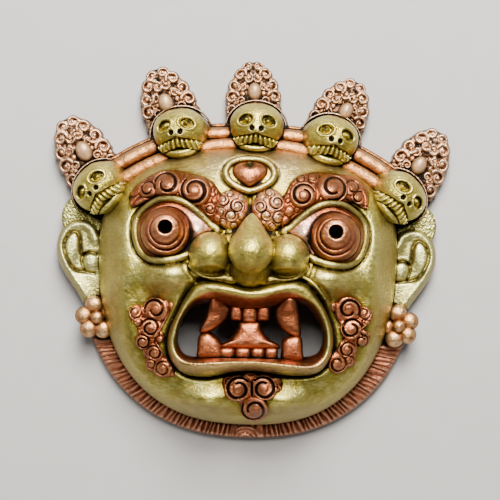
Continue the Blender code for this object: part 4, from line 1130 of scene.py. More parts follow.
# lobes of the outline, as place and radius; then scrolls, curls, lobes and cuts, as for the brows
TUFTS = {
    "cheek_tuft_left": (
        (
            (-47.6, -32.4, 6.8), (-56.4, -34.4, 5), (-41.4, -29.8, 3.4), (-50.4, -41.6, 6.6),
            (-53.4, -48.6, 4.6), (-48.4, -54.4, 5.2), (-43.4, -62.2, 5.2), (-48.4, -60.6, 4.2),
            (-38.8, -64.6, 2.6), (-45.6, -46, 3.4),
        ),
        (
            (-47.6, -31.6, 5.4, 200, -1, 1), (-49.8, -41.2, 4.8, 160, -1, 1.2),
            (-53.6, -48.8, 3.7, 100, -1), (-47.6, -54.2, 3.9, 150, -1), (-43, -62.4, 4.3, 20, 1),
        ),
        (
            (-57.6, -33.6, 3.2), (-56, -38.6, 2.6), (-44.6, -43.4, 1.6), (-44.9, -47.2, 1.6),
            (-49.4, -60.4, 3), (-38.4, -64.8, 1.4), (-44.2, -58, 1.4), (-38.9, -29.7, 1.6),
            (-53.6, -33.8, 1.5), (-42.6, -30.6, 1.5), (-50.4, -35.6, 1.5), (-54.8, -43.8, 1.9),
            (-49.4, -47.4, 1.7), (-52.8, -54.4, 1.9), (-44.4, -51, 1.4),
        ),
    ),
    "cheek_tuft_right": (
        (
            (51.4, -29.6, 7.4), (59.8, -32, 4.6), (53.4, -38.8, 6.4), (59.2, -43.6, 4.4),
            (51.6, -49.6, 5.4), (47, -57, 5.4), (53, -55.6, 3.8), (45, -28.4, 3.2),
        ),
        (
            (51.4, -28.9, 5.6, 330, 1, 1), (53, -38.8, 5.3, 10, 1, 1.2), (51.4, -49.7, 4.2, 20, 1),
            (46.8, -57.2, 4.5, 60, -1), (58.6, -45, 3.5, 70, -1),
        ),
        (
            (59.4, -30.6, 3.4), (61, -35.6, 2.8), (43.6, -27.5, 2), (60.2, -40.6, 2.5), (55.8, -47.6, 2),
            (52.6, -55.6, 2.9), (46.4, -42, 1.5), (46.4, -46, 1.5), (56.4, -33.6, 1.6), (47.4, -33.4, 1.6),
            (49.4, -44.6, 1.6), (55.4, -52, 1.7), (56, -26.6, 1.5),
        ),
    ),
    "chin_tuft": (
        (
            (-4.6, -70.8, 7), (9.6, -69.8, 6.9), (2.4, -66, 4.6), (4.6, -82, 7.2), (-9.4, -68.4, 3.6),
            (15.8, -68.4, 3.8), (2.6, -75.6, 6.6),
        ),
        (
            (-3.9, -71.2, 6.2, 40, 1, 1.2, 0.38), (9.1, -70.4, 6, 140, -1, 1.2, 0.38),
            (4.6, -82.2, 6.3, 150, 1, 1.15, 0.38),
        ),
        (
            (-8.8, -67.3, 2.4), (15.4, -66.2, 2.3), (15.8, -71.2, 2.4), (3.3, -76.4, 1.3),
            (-10.2, -72.4, 1.7), (-2, -78.2, 1.7), (10, -77.2, 1.7),
        ),
        ((((-2.4, -64.8), (2.4, -67.2), (7.4, -64.4)), 2.3),),
        ((((3, -67), (3.1, -71), (3.3, -75)), 0.7, 2.4),),
    ),
}


def scalloped(circles, count):
    """The outline of round lobes together, seen from their middle: in each direction the farthest
    point of any lobe that the ray meets."""
    lobes = np.asarray(circles, float)
    centre = lobes[:, :2].mean(axis=0)
    turn = once_round(count)[:, None]
    out, up = (lobes[:, :2] - centre).T
    ahead = out * np.cos(turn) + up * np.sin(turn)
    aside = np.abs(out * np.sin(turn) - up * np.cos(turn))
    radius = lobes[:, 2]
    met = ahead + np.sqrt(np.clip(radius ** 2 - aside ** 2, 0, None))
    reach = np.where(aside < radius, met, 0.0).max(axis=1, keepdims=True)
    return centre + pointing(turn) * reach


for name, (lobes, *tables) in TUFTS.items():
    forms = carving(*tables)

    def tuft_height(x, y, share):
        """The skin, a low swell in from the scalloped edge, and the scrolls on it."""
        swell = TUFT_RISE * np.sqrt(unit(1 - share ** 6)) - 0.9
        return face_height(x, y) + swell + CARVING * relief(x, y, forms, 0)[0]

    outline = scalloped(lobes, 220)
    foot = face_height(*outline.T).min() - TUFT_DEPTH
    rings = dome_rings(outline, tuft_height, foot, rows=60, crowded=0.2)
    tuft = shell(rings, carved=blackened(rings, forms, TUFT_GROUND))
    cast(name, [tuft], COPPER_FINISH)


# Under the cheeks runs a low rim of combed beard in copper. Its locks lie side by side like cords,
# level at the cheeks and standing under the chin, and its side is the outside of the casting.

RIM_HALF_WIDTH, RIM_DROP, RIM_SQUARENESS = 91.0, 100.0, 2.3
RIM_THICKNESS, RIM_SECTIONS = 7.4, 1000
LOCK_PITCH, LOCK_TURN = 2.45, 0.45      # distance between locks; how much faster they turn than the rim
FLOWER_Y = -37.6
RIM_TUCK = 4.5                  # how far in under the face's edge it starts
RIM_END = (86.0, FLOWER_Y - 2.0)        # towards this place, just under the flower, it ends
ARCHES = (0.5, -101.0)


def rim_reach(angles):
    """Distance from the nose's middle to the rim's edge, a squared ellipse, in each direction."""
    across, along = np.cos(angles) / RIM_HALF_WIDTH, np.sin(angles) / RIM_DROP
    return (np.abs(across) ** RIM_SQUARENESS + np.abs(along) ** RIM_SQUARENESS) ** (-1 / RIM_SQUARENESS)


def beard_rings():
    """Sections across the rim from the face out to its edge, down its side and back along the flat
    back. Locks are a row of rounds along the rim's length, whose phase slips outwards by the
    tangent of their slant; round arches stand at the bottom. Waves vary each lock a little."""
    ends = math.atan2(-RIM_END[1], RIM_END[0])
    angles = np.linspace(math.pi + ends, math.tau - ends, RIM_SECTIONS)
    out = rim_reach(angles)
    face_edge = outline_reach(pointing(angles), np.zeros(2), 0.0)
    share = np.concatenate([np.linspace(0, 0.93, 18), [0.97, 1.0]])
    radius = (face_edge - RIM_TUCK)[:, None] + (out - face_edge + RIM_TUCK)[:, None] * share
    middle = (angles - 1.5 * math.pi)[:, None]
    x, y = radius * np.cos(angles)[:, None], radius * np.sin(angles)[:, None]
    line = np.column_stack([x[:, 9], y[:, 9]])
    run = np.concatenate([[0.0], np.cumsum(np.hypot(*np.diff(line, axis=0).T))])
    run = (run - run[RIM_SECTIONS // 2])[:, None]
    along = run - np.tan(LOCK_TURN * middle) * (radius - radius[:, 9:10]) * 1.1
    along = along + 0.5 * np.sin(along * 0.37) + 0.3 * np.sin(share * 5.0 + along * 0.9)
    arch = np.hypot(x - ARCHES[0], y - ARCHES[1])
    arched = steep(np.abs(x - ARCHES[0]) - 8.5 + 0.35 * (y - ARCHES[1]), 0.5)
    phase = math.pi * (along / LOCK_PITCH * (1 - arched) + arch / 2.1 * arched)
    number = np.floor(phase / math.pi)
    varied = 1.0 + 0.22 * np.sin(number * 2.399) + 0.12 * np.sin(number * 5.1 + share * 4.0)
    lock = 1.5 * varied * np.abs(np.sin(phase)) ** 0.7 - 1.0
    slope = (FACE_EDGE_Z - 2.0) * (1 - share) + RIM_THICKNESS * share
    z = slope - 2.6 * unit((share - 0.86) / 0.14) ** 2 + lock * (1 - unit((share - 0.9) / 0.1))
    top = np.stack([x, y, z], axis=-1)
    side = np.repeat(top[:, -1:], 3, axis=1) * (1, 1, 0) + np.array([(0, 0, 3.2), (0, 0, 1.4), (0, 0, 0)])
    under = np.repeat(top[:, :1], 2, axis=1) * (1, 1, 0) + np.array([(0, 0, 0), (0, 0, 6.0)])
    rings = np.concatenate([top, side, under], axis=1)
    black = np.zeros(rings.shape[:2])
    black[:, :len(share)] = 0.7 * unit(1 - np.abs(np.sin(phase)) / 0.3)
    return shell(rings, carved=black)


BEARD_COPPER = ((0.54, 0.19, 0.09), (0.40, 0.11, 0.05), (0.92, 0.52, 0.32))
BEARD_FINISH = metal_finish("beard_finish", BEARD_COPPER)
cast("beard_rim", [beard_rings()], BEARD_FINISH, wiped=0.3)


# The crown is two rolls laid round the forehead, painted orange-gold, the outer one smooth and the
# inner one stippled, with a thin lip outside them. All are cast in one with the plate they stand on.

CROWN_CENTRE_Y, CROWN_RADIUS = -63.0, 127.2
CROWN_HALF_ANGLE = 38.5
# name, inset, sag, height, half width, depth of the stipple, sections, points across
CROWN_ROLLS = (
    ("crown_roll_outer", 0.7, 3.2, 15, 4.2, 0, 300, 24),
    ("crown_roll_inner", 8.9, 0.8, 20.4, 4.2, 0.28, 640, 30),
    ("crown_lip", -4.3, 3, 11, 1.3, 0.12, 560, 10),
)
ORANGE_GOLD = ((0.60, 0.24, 0.065), (0.48, 0.16, 0.035), (0.92, 0.54, 0.24))
CROWN_FINISH = metal_finish("crown_finish", ORANGE_GOLD)


def on_crown(angle, inset):
    """A place on the crown's arc, by degrees from the middle line and distance in from it."""
    reach = CROWN_RADIUS - inset
    turn = np.radians(angle)
    return np.stack([reach * np.sin(turn), CROWN_CENTRE_Y + reach * np.cos(turn)], axis=-1)


def crown_roll(name, inset, sag, z, width, stipple, sections, rounds):
    """A roll on its plate: a round top, lower in the middle of the crown by the sag, straight sides
    down to the back, and pits from the product of two waves that cross."""
    angles = np.linspace(-CROWN_HALF_ANGLE, CROWN_HALF_ANGLE, sections)
    turn = np.linspace(0, math.pi, rounds)
    across, up = width * np.cos(turn), width * np.sin(turn)
    along = np.radians(angles)[:, None] * CROWN_RADIUS
    reach = width * turn
    crossing = np.sin(reach * 5.2 + 0.9 * np.sin(along * 1.7))
    pits = stipple * np.sin(along * 5.2 + 0.8 * np.sin(reach * 2.0)) * crossing
    lumps = 0.10 * np.sin(along * 0.9 + np.sin(along * 0.43)) * np.sin(turn)
    drop = sag * bell(angles / 14.0)
    place = np.stack([on_crown(angles, inset + drop + a) for a in across], axis=1)
    top = np.dstack([place, z + up + pits + lumps])
    foot = top[:, [-1, 0]] * (1, 1, 0)
    rings = np.concatenate([top, foot], axis=1)
    black = np.zeros(rings.shape[:2])
    black[:, :len(turn)] = unit(-pits / (stipple + 1e-9) - 0.45) * 0.7
    return cast(name, [shell(rings, carved=black)], CROWN_FINISH)


for roll in CROWN_ROLLS:
    crown_roll(*roll)


# Five skulls sit on the crown, green-gold with black in their sockets. Each is a domed head with
# ringed sockets and two nose holes, over an arched row of long teeth and a thin jaw.

SKULL_Z = 23.5                  # of the skull's middle, from which its own heights count
# skull: place x and y, turn, lean to its side; leaf: angle on the crown, inset, turn, reach, shoulder,
# point, and its stone's place and radius
CROWN_PLACES = {
    "middle": ((1.6, 64.6, -3, 0), (0, -0.6, 2.2, 35.8, 15.4, 0.7, (0, 83.8, 3.7))),
    "left_inner": ((-38.2, 60.6, 8, -10), (-17.7, -0.2, 21.5, 39.6, 17, 0.56, (-46.8, 76.3, 4.1))),
    "right_inner": ((40.6, 59, -12.5, 10), (17.7, -0.2, -25.5, 36.8, 17, 0.58, (48.5, 74.7, 3.8))),
    "left_outer": ((-79.6, 30.6, 45.5, -16), (-40.5, 5, 29.5, 43, 19, 0.46, (-89.4, 49.7, 4.3))),
    "right_outer": ((77.4, 30.2, -45, 16), (40.5, 5, -28.5, 41.4, 19, 0.46, (88.1, 47.3, 3.9))),
}
HEAD_RADII, HEAD_RISE = (14.0, 11.2), 12.0
SOCKET_X, SOCKET_Y, SOCKET_RADII, SOCKET_TILT = 6.0, 2.4, (3.4, 2.5), -24.0
HOLE_X, HOLE_Y, HOLE_RADII = 2.4, -1.8, (1.15, 1.3)     # of the nose
TOOTH_WIDTH, TOOTH_LENGTH = 2.35, 4.9
SKULL_TOP, SKULL_FOOT = (14.2, 12.0), (13.6, 14.6)      # radii of the outline's upper and lower half
HIDDEN = -14.0                  # deep enough to be hidden by what stands beside it
SKULL_BASE = -15.0


def turned_about(rings, axis, degrees):
    """The points turned round one axis through the origin."""
    a = math.radians(degrees)
    one, two = {"x": (1, 2), "y": (2, 0), "z": (0, 1)}[axis]
    made = rings.copy()
    made[..., one] = rings[..., one] * math.cos(a) - rings[..., two] * math.sin(a)
    made[..., two] = rings[..., one] * math.sin(a) + rings[..., two] * math.cos(a)
    return made


def skull_holes(u, v, side):
    """For one side of the skull: the reach over its tilted socket, 1 at the rim, the distance up
    from the socket's middle, and the cut of a nose hole."""
    tilt = math.radians(SOCKET_TILT * side)
    a, b = u - side * SOCKET_X, v - SOCKET_Y
    along, across = a * math.cos(tilt) + b * math.sin(tilt), b * math.cos(tilt) - a * math.sin(tilt)
    hole = ((u - side * HOLE_X) / HOLE_RADII[0]) ** 2 + ((v - HOLE_Y) / HOLE_RADII[1]) ** 2
    out = (along / SOCKET_RADII[0]) ** 2 + (across / SOCKET_RADII[1]) ** 2
    return out, across, steep(hole - 1, 0.2)


def tooth_row(u, v):
    """The arch over the teeth, how far a place is down them, and the wave of a tooth's front, whose
    pitch fans out downwards."""
    arch = -5.3 - 0.0165 * u ** 2 + 0.8 * bell(u / 2.0)
    down = (arch - v + 0.3) / TOOTH_LENGTH
    return arch, down, np.abs(np.cos(u / (1 + 0.16 * unit(down)) / TOOTH_WIDTH * math.pi))


def skull_height(u, v, share):
    """Height over the skull's middle: the highest of the head with its sockets and nose holes cut,
    the row of teeth that falls back to the sides, and the jaw under it."""
    inside = 1 - np.abs(u / HEAD_RADII[0]) ** 2.3 - np.abs((v - 0.6) / HEAD_RADII[1]) ** 2.3
    head = HEAD_RISE * np.sqrt(np.clip(inside, 0, None)) + HIDDEN * (inside < 0)
    head = head + bell(u / 4.0, (v + 3.2) / 2.4)
    for side in (-1, 1):
        out, _, hole = skull_holes(u, v, side)
        pit = steep(out - 1, 0.13)
        head = head - 2.7 * pit + 1.9 * pit * np.exp(-2.6 * out) + 0.45 * bell((out - 1.8) / 0.4) - 2.6 * hole
    arch, down, column = tooth_row(u, v)
    head = np.where(v > arch, head, head - 7.0 * unit((arch - v) / 0.6))
    back = np.cos(np.clip(u / 14.2, -1, 1) * 1.25)
    end = 0.86 + 0.14 * column
    tooth = 9.9 * back - 1.6 + 1.9 * column ** 0.6 - 1.8 * unit(down / end) ** 4 - 0.8 * unit(1 - down / 0.25)
    teeth = np.where((down > 0) & (down < end) & (np.abs(u) < 13.4), tooth, HIDDEN)
    jaw = 9.2 * back - 1.4 - np.abs((v + 12.0 - 0.024 * u ** 2) / 1.75) ** 2.6 * 2.2
    jaw = np.where(np.abs(u) < 11.5, jaw, HIDDEN)
    return np.maximum(np.maximum(head, teeth), np.maximum(jaw, -9.0))


def skull_marks(u, v):
    """Where black is left on a skull: at the rims of the sockets, in the nose holes, between the
    teeth and over the jaw."""
    _, down, column = tooth_row(u, v)
    gaps = unit(1 - column / 0.4) * ((down > 0) & (down < 1))
    blacks = [gaps, bell((down - 0.02) / 0.07) + 0.9 * bell((down - 1.06) / 0.12)]
    for side in (-1, 1):
        out, across, hole = skull_holes(u, v, side)
        rim = bell((out - 0.78) / 0.3) * (0.75 + 0.25 * np.sign(across))
        blacks += [rim, 0.60 * steep(out - 0.9, 0.1), hole]
    return unit(np.maximum.reduce(blacks))


def skull_shell(x, y, turn, lean):
    """The skull over its own outline, leant outwards and set on the crown."""
    around = pointing(once_round(190))
    outline = around * np.where(around[:, 1:] > 0, SKULL_TOP, SKULL_FOOT)
    rings = dome_rings(outline, skull_height, SKULL_BASE, rows=58, crowded=0.3)
    black = skull_marks(rings[..., 0], rings[..., 1])
    rings = turned_about(turned_about(rings, "x", -abs(lean) / 2), "y", lean)
    rings = turned_about(rings, "z", turn) + (x, y, SKULL_Z)
    rings[..., 2] = np.maximum(rings[..., 2], 0.3)
    return shell(rings, carved=black)


for name, (skull, _) in CROWN_PLACES.items():
    cast(f"skull_{name}", [skull_shell(*skull)], GREEN_FINISH, wiped=0.5)


# A leaf stands behind each skull: a flat plate, slightly domed, crowded with small scrolls in pale
# copper round an oval stone that is painted tan. A thin double line borders the skull.

PALE_COPPER = ((0.60, 0.32, 0.17), (0.48, 0.22, 0.105), (0.95, 0.69, 0.48))
STONE_TAN = ((0.50, 0.27, 0.125), (0.42, 0.21, 0.09), (0.66, 0.42, 0.23))
LEAF_FINISH = metal_finish("pale_copper_finish", PALE_COPPER)
STONE_FINISH = metal_finish("stone_finish", STONE_TAN, bump=0.00012, metallic=0.35)
LEAF_HALF_WIDTH, LEAF_THICKNESS, LEAF_DOME = 14.8, 7.8, 2.2
LEAF_GROUND = 0.7
LEAF_MIDDLE = np.array([0.0, 14.5])
BORDERS, BORDER_HALF_WIDTH, BORDER_HALF_HEIGHT = (0.9, 2.3), 0.55, 1.6
STONE_RISE, STONE_LENGTH = 3.4, 1.32            # its length as a share of its width
# scrolls on the right half: across, up as a share of the reach, radius, start, hand
LEAF_SCROLLS = (
    (11.3, 0.27, 3.5, 200, 1), (11.4, 0.455, 3.5, 160, -1), (9.9, 0.63, 3.4, 210, 1),
    (6.9, 0.785, 3.2, 180, -1), (2.9, 0.9, 2.9, 300, 1), (5.6, 0.615, 2.5, 30, -1), (6.3, 0.4, 2.2, 320, 1),
    (2.6, 0.735, 2.6, 120, 1), (8, 0.27, 1.9, 80, -1), (8.4, 0.5, 1.8, 250, 1),
)
# beads: across, up, radius
LEAF_BEADS = (
    (0, 0.955, 1.5), (0, 0.825, 1.9), (13.6, 0.365, 1.3), (13, 0.555, 1.3), (8.4, 0.345, 1.4),
    (8.2, 0.52, 1.3), (9.8, 0.73, 1.3), (5.4, 0.875, 1.4), (7.6, 0.24, 1.6), (4.4, 0.66, 1),
    (12, 0.18, 1.7), (8.6, 0.16, 1.7), (5.6, 0.505, 1.2), (0, 0.66, 1.5), (4.8, 0.81, 1.5), (3.4, 0.6, 1.2),
    (10.6, 0.54, 1.3), (9.6, 0.36, 1.3),
)


def button(x, y, z, radius, rise, long=1.0, count=30):
    """A flattened ball, as rings of latitude: its height is the rise times the cosine of the
    latitude, and its reach the radius times the sine, longer upwards than across."""
    down, turn = np.linspace(0.03, math.pi - 0.03, 20)[:, None], once_round(count)
    reach = radius * np.sin(down)
    top = z + rise * np.cos(down) + 0 * turn
    return np.stack([x + reach * np.cos(turn), y + reach * np.sin(turn) * long, top], axis=-1)


def leaf_shell(reach, shoulder, point, skew):
    """The leaf over its scalloped outline: a flat dome, and the scrolls raised on it. The skew turns
    the scrolls of one side, so that the halves aren't quite alike."""
    grown = (reach / 36.0) ** 0.8
    forms, lobes = [], []
    for across, up, radius, start, hand in LEAF_SCROLLS:
        for side in (-1, 1):
            begin = start if side > 0 else 180 - start + skew
            forms += fern(side * across, up * reach, radius * grown * 1.12, begin, side * hand)
            lobes.append((side * across, up * reach - LEAF_MIDDLE[1], radius * grown + 0.3))
    for across, up, radius in LEAF_BEADS:
        forms += [dot(side * across, up * reach, radius * grown, 0.8) for side in (-1, 1)]
    share = np.linspace(0, 1, 60)
    sides = LEAF_HALF_WIDTH * (1 - share ** 2) ** point
    arch = np.column_stack([sides, shoulder + (reach - shoulder) * share])
    half = np.vstack([(LEAF_HALF_WIDTH * 0.9, -7.0), (LEAF_HALF_WIDTH, shoulder * 0.5), arch])
    whole = np.vstack([half, half[::-1] * (-1, 1)])
    turn = once_round(260)
    plate = polar_reach(whole, LEAF_MIDDLE, turn) - 0.5
    bumpy = polar_reach(scalloped(lobes + [(0.0, 0.0, 1.0)], 260), np.zeros(2), turn)
    rays = np.maximum(plate - 0.6, np.minimum(bumpy, plate + 0.6))[:, None]
    outline = LEAF_MIDDLE + pointing(turn) * rays

    def height(x, y, share):
        """A plate that is domed across and rounds over at its edge, and the scrolls on it."""
        flat = LEAF_THICKNESS + LEAF_DOME * (1 - (x / LEAF_HALF_WIDTH) ** 2) - 1.6
        edge = 1.2 * unit((share - 0.95) / 0.05) ** 2
        return flat - edge + FINE_CARVING * relief(x, y, forms, 0)[0]

    rings = dome_rings(outline, height, 0.0, rows=72, crowded=0.1)
    return shell(rings, carved=blackened(rings, forms, LEAF_GROUND))


for name, (skull, leaf) in CROWN_PLACES.items():
    angle, inset, leaf_turn, reach, shoulder, point, (stone_x, stone_y, stone_radius) = leaf
    x, y = on_crown(angle, inset)
    made = leaf_shell(reach, shoulder, point, 40.0 * math.sin(angle))
    made["rings"] = turned_about(made["rings"], "z", leaf_turn) + (x, y, 0.0)
    borders = []
    arc = pointing(np.radians(np.linspace(-8, 188, 60)))
    for grown in BORDERS:
        radii = HEAD_RADII[0] + grown, HEAD_RADII[1] + 0.9 + grown
        line = turned_about(at_height(arc * radii, LEAF_THICKNESS + 2.9), "z", skull[2]) + (*skull[:2], 0.0)
        borders.append(shell(swept(line, BORDER_HALF_WIDTH, BORDER_HALF_HEIGHT, sides=8)))
    cast(f"leaf_{name}", [made] + borders, LEAF_FINISH)
    stone = button(0, 0, 0, stone_radius, STONE_RISE, long=STONE_LENGTH, count=32)
    stone = turned_about(stone, "z", leaf_turn) + (stone_x, stone_y, LEAF_THICKNESS + 2.0)
    cast(f"stone_{name}", [shell(stone)], STONE_FINISH)


# The ears stand out flat from the temples. A broad smooth roll bends round a raised oval, with a
# thin line between them, and runs down into the lobe. Over each a rough web joins it to the crown.

EAR_OUTLINE = (
    (78, 8), (81, 12.4), (87, 15.2), (94, 13.6), (99, 8.4), (101.4, 1), (100.8, -6.5), (97.8, -13.5),
    (93.6, -20), (89.4, -26), (86, -31.5), (81, -33), (74, -30), (70, -10), (72, 4),
)
EAR_HELIX = (
    (80.5, 4), (83, 9.4), (88.8, 11.6), (94.6, 10.2), (98.2, 4.6), (98.9, -3), (96.6, -10), (92.4, -16.6),
    (87.4, -23), (83, -29),
)
# lines: points, half width, depth
EAR_LINES = (
    (
        (
            (80, -4.2), (84, -3.6), (87.4, -4.8), (88.4, -0.5), (88.8, 3.8), (90.6, 6.8), (93.4, 6.8),
            (96.2, 3.4), (97, -1.8), (94.4, -8.8), (91, -12.8), (86.2, -14), (81, -14.6),
        ),
        0.95, 2,
    ),
    (((86.4, -4.4), (87.6, -8), (86, -13)), 0.8, 1.4),
)
# the oval and the root: place x and y, lean, spread x and y, height
EAR_SWELLS = ((92.8, -1.0, 0.10, 3.9, 9.0, 1.7), (82.6, -8.8, 0.0, 3.6, 5.2, 1.8))
EAR_SHIFTS = {"left": -1.0, "right": -2.8}
WEB_OUTLINE = ((72, 6), (70, 20), (78, 27), (90, 27.5), (97.5, 22), (99.6, 14), (96, 6), (84, 2))


def ear_height(x, y, share):
    """A domed plate that rounds over at its edge, a roll along the helix, an oval and a small swell
    at its root, each a bell on the plate, and the lines cut in."""
    z = 6.4 + 6.6 * np.sqrt(unit(1 - share ** 5))
    away = away_from(x, y, through(EAR_HELIX, 40))[0].min(axis=-1)
    z = z + 2.2 * bell(away / 2.9)
    for middle_x, middle_y, lean, spread_x, spread_y, height in EAR_SWELLS:
        out = np.hypot((x - middle_x + lean * y) / spread_x, (y - middle_y) / spread_y)
        z = z + height * np.exp(-out ** 3)
    for points, half_width, depth in EAR_LINES:
        z = z - line_depth(x, y, through(points, 60), half_width, depth)
    return z


def ear_black(x, y):
    """Where black is left in the ear's lines: a bell narrower than each cut."""
    lines = [line_depth(x, y, through(points, 60), 0.55 * wide, 0.72) for points, wide, _ in EAR_LINES]
    return np.maximum.reduce(lines)


def web_height(x, y, share):
    """A low rough plate: two crossing waves on a flat dome."""
    rough = np.sin(x * 2.9 + 1.3 * np.sin(y * 1.7)) * np.sin(y * 3.1 + 1.1 * np.sin(x * 2.3))
    return 9.4 + 2.0 * np.sqrt(unit(1 - share ** 4)) + 0.45 * rough


# green-gold painted paler and brighter than the face's, a painted highlight for the light the ears' flat
# faces catch
EAR_GREEN_AND_HIGHLIGHT = ((0.72, 0.67, 0.22), (0.64, 0.56, 0.17), (0.95, 0.95, 0.55))
EAR_FINISH = metal_finish("ear_finish", EAR_GREEN_AND_HIGHLIGHT)
for side, word in ((-1, "left"), (1, "right")):
    shift = EAR_SHIFTS[word]
    rings = dome_rings(through(EAR_OUTLINE, 200, closed=True), ear_height, 0.0, rows=56, crowded=0.4)
    ear = shell(rings * (side, 1, 1) + (shift, 0, 0), carved=ear_black(rings[..., 0], rings[..., 1]))
    cast(f"ear_{word}", [ear], EAR_FINISH)
    rings = dome_rings(through(WEB_OUTLINE, 110, closed=True), web_height, 0.0, rows=36)
    web = shell(rings * (side, 1, 1) + (shift * 0.5, 0, 0))
    cast(f"ear_web_{word}", [web], EAR_FINISH)


# On each lobe sits a flower of five round petals about a ball, in orange copper, on a short stem
# that stands on the beard's rim.

FLOWER_COPPER = ((0.60, 0.28, 0.09), (0.50, 0.19, 0.05), (0.95, 0.60, 0.30))
FLOWER_FINISH = metal_finish("flower_finish", FLOWER_COPPER)
FLOWER_X, FLOWER_Z, STEM_RADIUS = 79.2, 16.6, 8.6
# petals: across and up from the ball, radius
PETALS = {
    "left": ((-2, 6.4, 4.8), (-7, 0.7, 4.8), (-4.2, -6, 4.9), (3.3, -6.2, 4.8), (5.2, 2.6, 3.7)),
    "right": ((-0.4, 6.5, 4.7), (5.9, 2.6, 4.7), (4.8, -4.4, 4.8), (-2, -6.6, 4.8), (-5.5, -0.6, 3.7)),
}


def stem_height(x, y, share):
    """A low flat dome."""
    return 14.0 - 2.0 * share ** 2 + 0 * x


for side, word in ((-1, "left"), (1, "right")):
    x, y = side * FLOWER_X, FLOWER_Y
    ball = shell(button(x, y, FLOWER_Z + 1.2, 3.7, 3.9))
    cast(f"flower_ball_{word}", [ball], FLOWER_FINISH)
    petals = [
        shell(button(x + across, y + up, FLOWER_Z - 1.0, radius, radius * 0.82))
        for across, up, radius in PETALS[word]
    ]
    cast(f"flower_petals_{word}", petals, FLOWER_FINISH, wiped=0.3)
    stem = dome_rings(pointing(once_round(60)) * STEM_RADIUS + (x, y), stem_height, 0.0, rows=12)
    cast(f"flower_stem_{word}", [shell(stem)], FLOWER_FINISH)


# The whole casting is washed with black paint that is wiped off while wet. It stays where the
# surface lies lower than what surrounds it, and the metal is rubbed bright where it stands higher.
# A brown painted shade darkens its steep flanks and what lies below its wide surroundings.

# the map of heights: side of a cell in mm, its lower left corner, and how many cells it has
CELL = 0.35
LEFT, BOTTOM = -112.0, -106.0
COLUMNS, ROWS = 640, 606
FINE, WIDE = 0.7, 2.4           # spreads in mm of what surrounds a point closely and widely


def softened(cells, spread):
    """The map blurred with a bell of that spread in mm, by damping its fine waves."""
    waves_x = np.fft.fftfreq(COLUMNS, CELL)[:, None]
    waves_y = np.fft.rfftfreq(ROWS, CELL)[None]
    damping = np.exp(-2 * (math.pi * spread) ** 2 * (waves_x ** 2 + waves_y ** 2))
    return np.fft.irfft2(np.fft.rfft2(cells) * damping, s=cells.shape)


def between(rings):
    """The rings with their midpoints, so that no cell of the map is missed."""
    wide = np.empty((rings.shape[0], rings.shape[1] * 2, 3))
    wide[:, ::2], wide[:, 1::2] = rings, (rings + np.roll(rings, -1, axis=1)) / 2
    middles = (wide[:-1] + wide[1:]) / 2
    return np.concatenate([wide.reshape(-1, 3), middles.reshape(-1, 3)])


def read_at(cells, points):
    """The map's value at each point, weighed between its four nearest cells."""
    across = np.clip((points[:, 0] - LEFT) / CELL - 0.5, 0, COLUMNS - 2)
    up = np.clip((points[:, 1] - BOTTOM) / CELL - 0.5, 0, ROWS - 2)
    i, j = across.astype(int), up.astype(int)
    s, t = across - i, up - j
    low = cells[i, j] * (1 - s) + cells[i + 1, j] * s
    return low * (1 - t) + (cells[i, j + 1] * (1 - s) + cells[i + 1, j + 1] * s) * t


front = np.zeros((COLUMNS, ROWS))
for made, shells, _ in castings:
    for part in shells:
        points = between(part["rings"])
        cell = ((points[:, 0] - LEFT) / CELL).astype(int), ((points[:, 1] - BOTTOM) / CELL).astype(int)
        np.maximum.at(front, cell, points[:, 2])
covered = (front > 0.5).astype(float)
fine, wide = (softened(front, spread) / (softened(covered, spread) + 1e-3) for spread in (FINE, WIDE))
slope = np.hypot(*np.gradient(softened(front, 0.5) / (softened(covered, 0.5) + 1e-3), CELL))
inland = softened(covered, 1.6)
for made, shells, wiped in castings:
    count = len(made.data.vertices)
    points, normals, carved = np.empty(count * 3), np.empty(count * 3), np.empty(count)
    made.data.vertices.foreach_get("co", points)
    made.data.vertices.foreach_get("normal", normals)
    made.data.attributes["carved"].data.foreach_get("value", carved)
    points, tilt = points.reshape(-1, 3) / MM, 1 - normals[2::3]
    bias = np.minimum(read_at(slope, points), 2.5) * CELL * 0.5
    under_fine = read_at(fine, points) - bias - points[:, 2]
    under_wide = read_at(wide, points) - bias - points[:, 2]
    wash = unit((under_fine - 0.1) / 1.0) * 0.75 + unit((under_wide - 0.8) / 3.4) * 0.7
    wash *= unit((read_at(inland, points) - 0.55) / 0.3) * (1 - wiped)
    rub = unit(-under_fine / 0.55) * 0.7 + unit(-under_wide / 3.0) * 0.35
    # painted shade: brown on steep flanks and where the surface lies below its wide surroundings
    painted_shade = (unit((tilt - 0.08) / 0.4) * 0.95 + unit(under_wide / 2.5) * 0.6) * (1 - wiped)
    for word, values in (("wash", np.maximum(wash, carved)), ("rub", rub * (1 - carved)), ("painted_shade", painted_shade)):
        hold(made.data, word, unit(values))


# The mask lies on a plain pale floor under soft light: a strong lamp beyond the crown, a second one
# nearer, and weak ones at the chin and both sides. The camera looks straight down on it, turned a
# little as the photograph is.

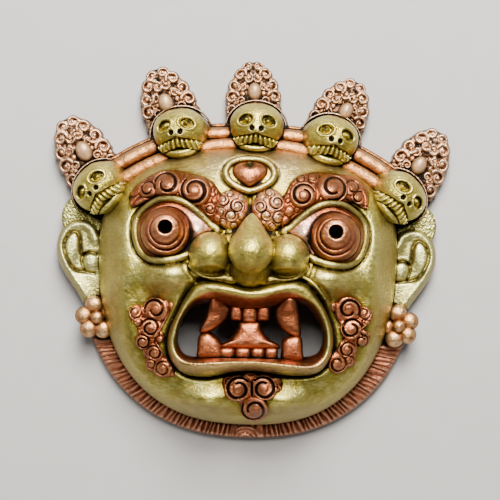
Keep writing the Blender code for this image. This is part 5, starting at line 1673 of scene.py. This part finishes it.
CAMERA_HEIGHT = 0.9
VIEW_WIDTH = 0.2675             # of the floor, across the picture
CAMERA_ROLL = 1.7               # degrees
SENSOR = 36.0

bpy.ops.mesh.primitive_plane_add(size=3.0, location=(0.0, 0.0, -0.0004))
floor = bpy.context.object
floor.name = "floor"
plaster, tree, shader = new_material("pale_floor")
grain = noise(tree, object_place(tree), 60.0, 4.0)
tint = mixed(tree, grain, (0.50, 0.475, 0.45, 1.0), (0.55, 0.525, 0.50, 1.0))
plug(tree, shader.inputs, {"Base Color": tint, "Roughness": 0.8})
floor.data.materials.append(plaster)


def soft_light(name, place, size, power, colour):
    """A square light of that size that faces the mask."""
    lamp = bpy.data.lights.new(name, "AREA")
    lamp.shape, lamp.size, lamp.energy, lamp.color = "SQUARE", size, power, colour
    made = bpy.data.objects.new(name, lamp)
    made.location = place
    made.rotation_mode = "QUATERNION"
    made.rotation_quaternion = (Vector((0.0, 0.0, 0.03)) - Vector(place)).to_track_quat("-Z", "Y")
    bpy.context.collection.objects.link(made)


soft_light("key_light", (0.10, 0.80, 0.84), 0.50, 30.0, (1.0, 0.99, 0.96))
soft_light("front_light", (0.02, 0.48, 1.08), 0.50, 16.0, (1.0, 0.99, 0.97))
soft_light("low_light", (0.0, -0.95, 0.55), 0.45, 1.9, (1.0, 0.97, 0.94))
soft_light("left_light", (-0.90, 0.20, 0.75), 0.30, 1.2, (0.96, 0.98, 1.0))
soft_light("right_light", (0.95, 0.05, 0.55), 0.35, 0.3, (0.96, 0.98, 1.0))

world = bpy.data.worlds.new("room")
world.use_nodes = True
bpy.context.scene.world = world
sky = world.node_tree.nodes["Background"]
sky.inputs["Color"].default_value = (0.86, 0.82, 0.78, 1.0)
sky.inputs["Strength"].default_value = 0.07

eye = bpy.data.cameras.new("camera")
eye.sensor_width = SENSOR
eye.lens = SENSOR * CAMERA_HEIGHT / VIEW_WIDTH
camera = bpy.data.objects.new("camera", eye)
camera.location = (0.0, 0.0, CAMERA_HEIGHT)
camera.rotation_euler = (0.0, 0.0, math.radians(CAMERA_ROLL))
bpy.context.collection.objects.link(camera)
bpy.context.scene.camera = camera
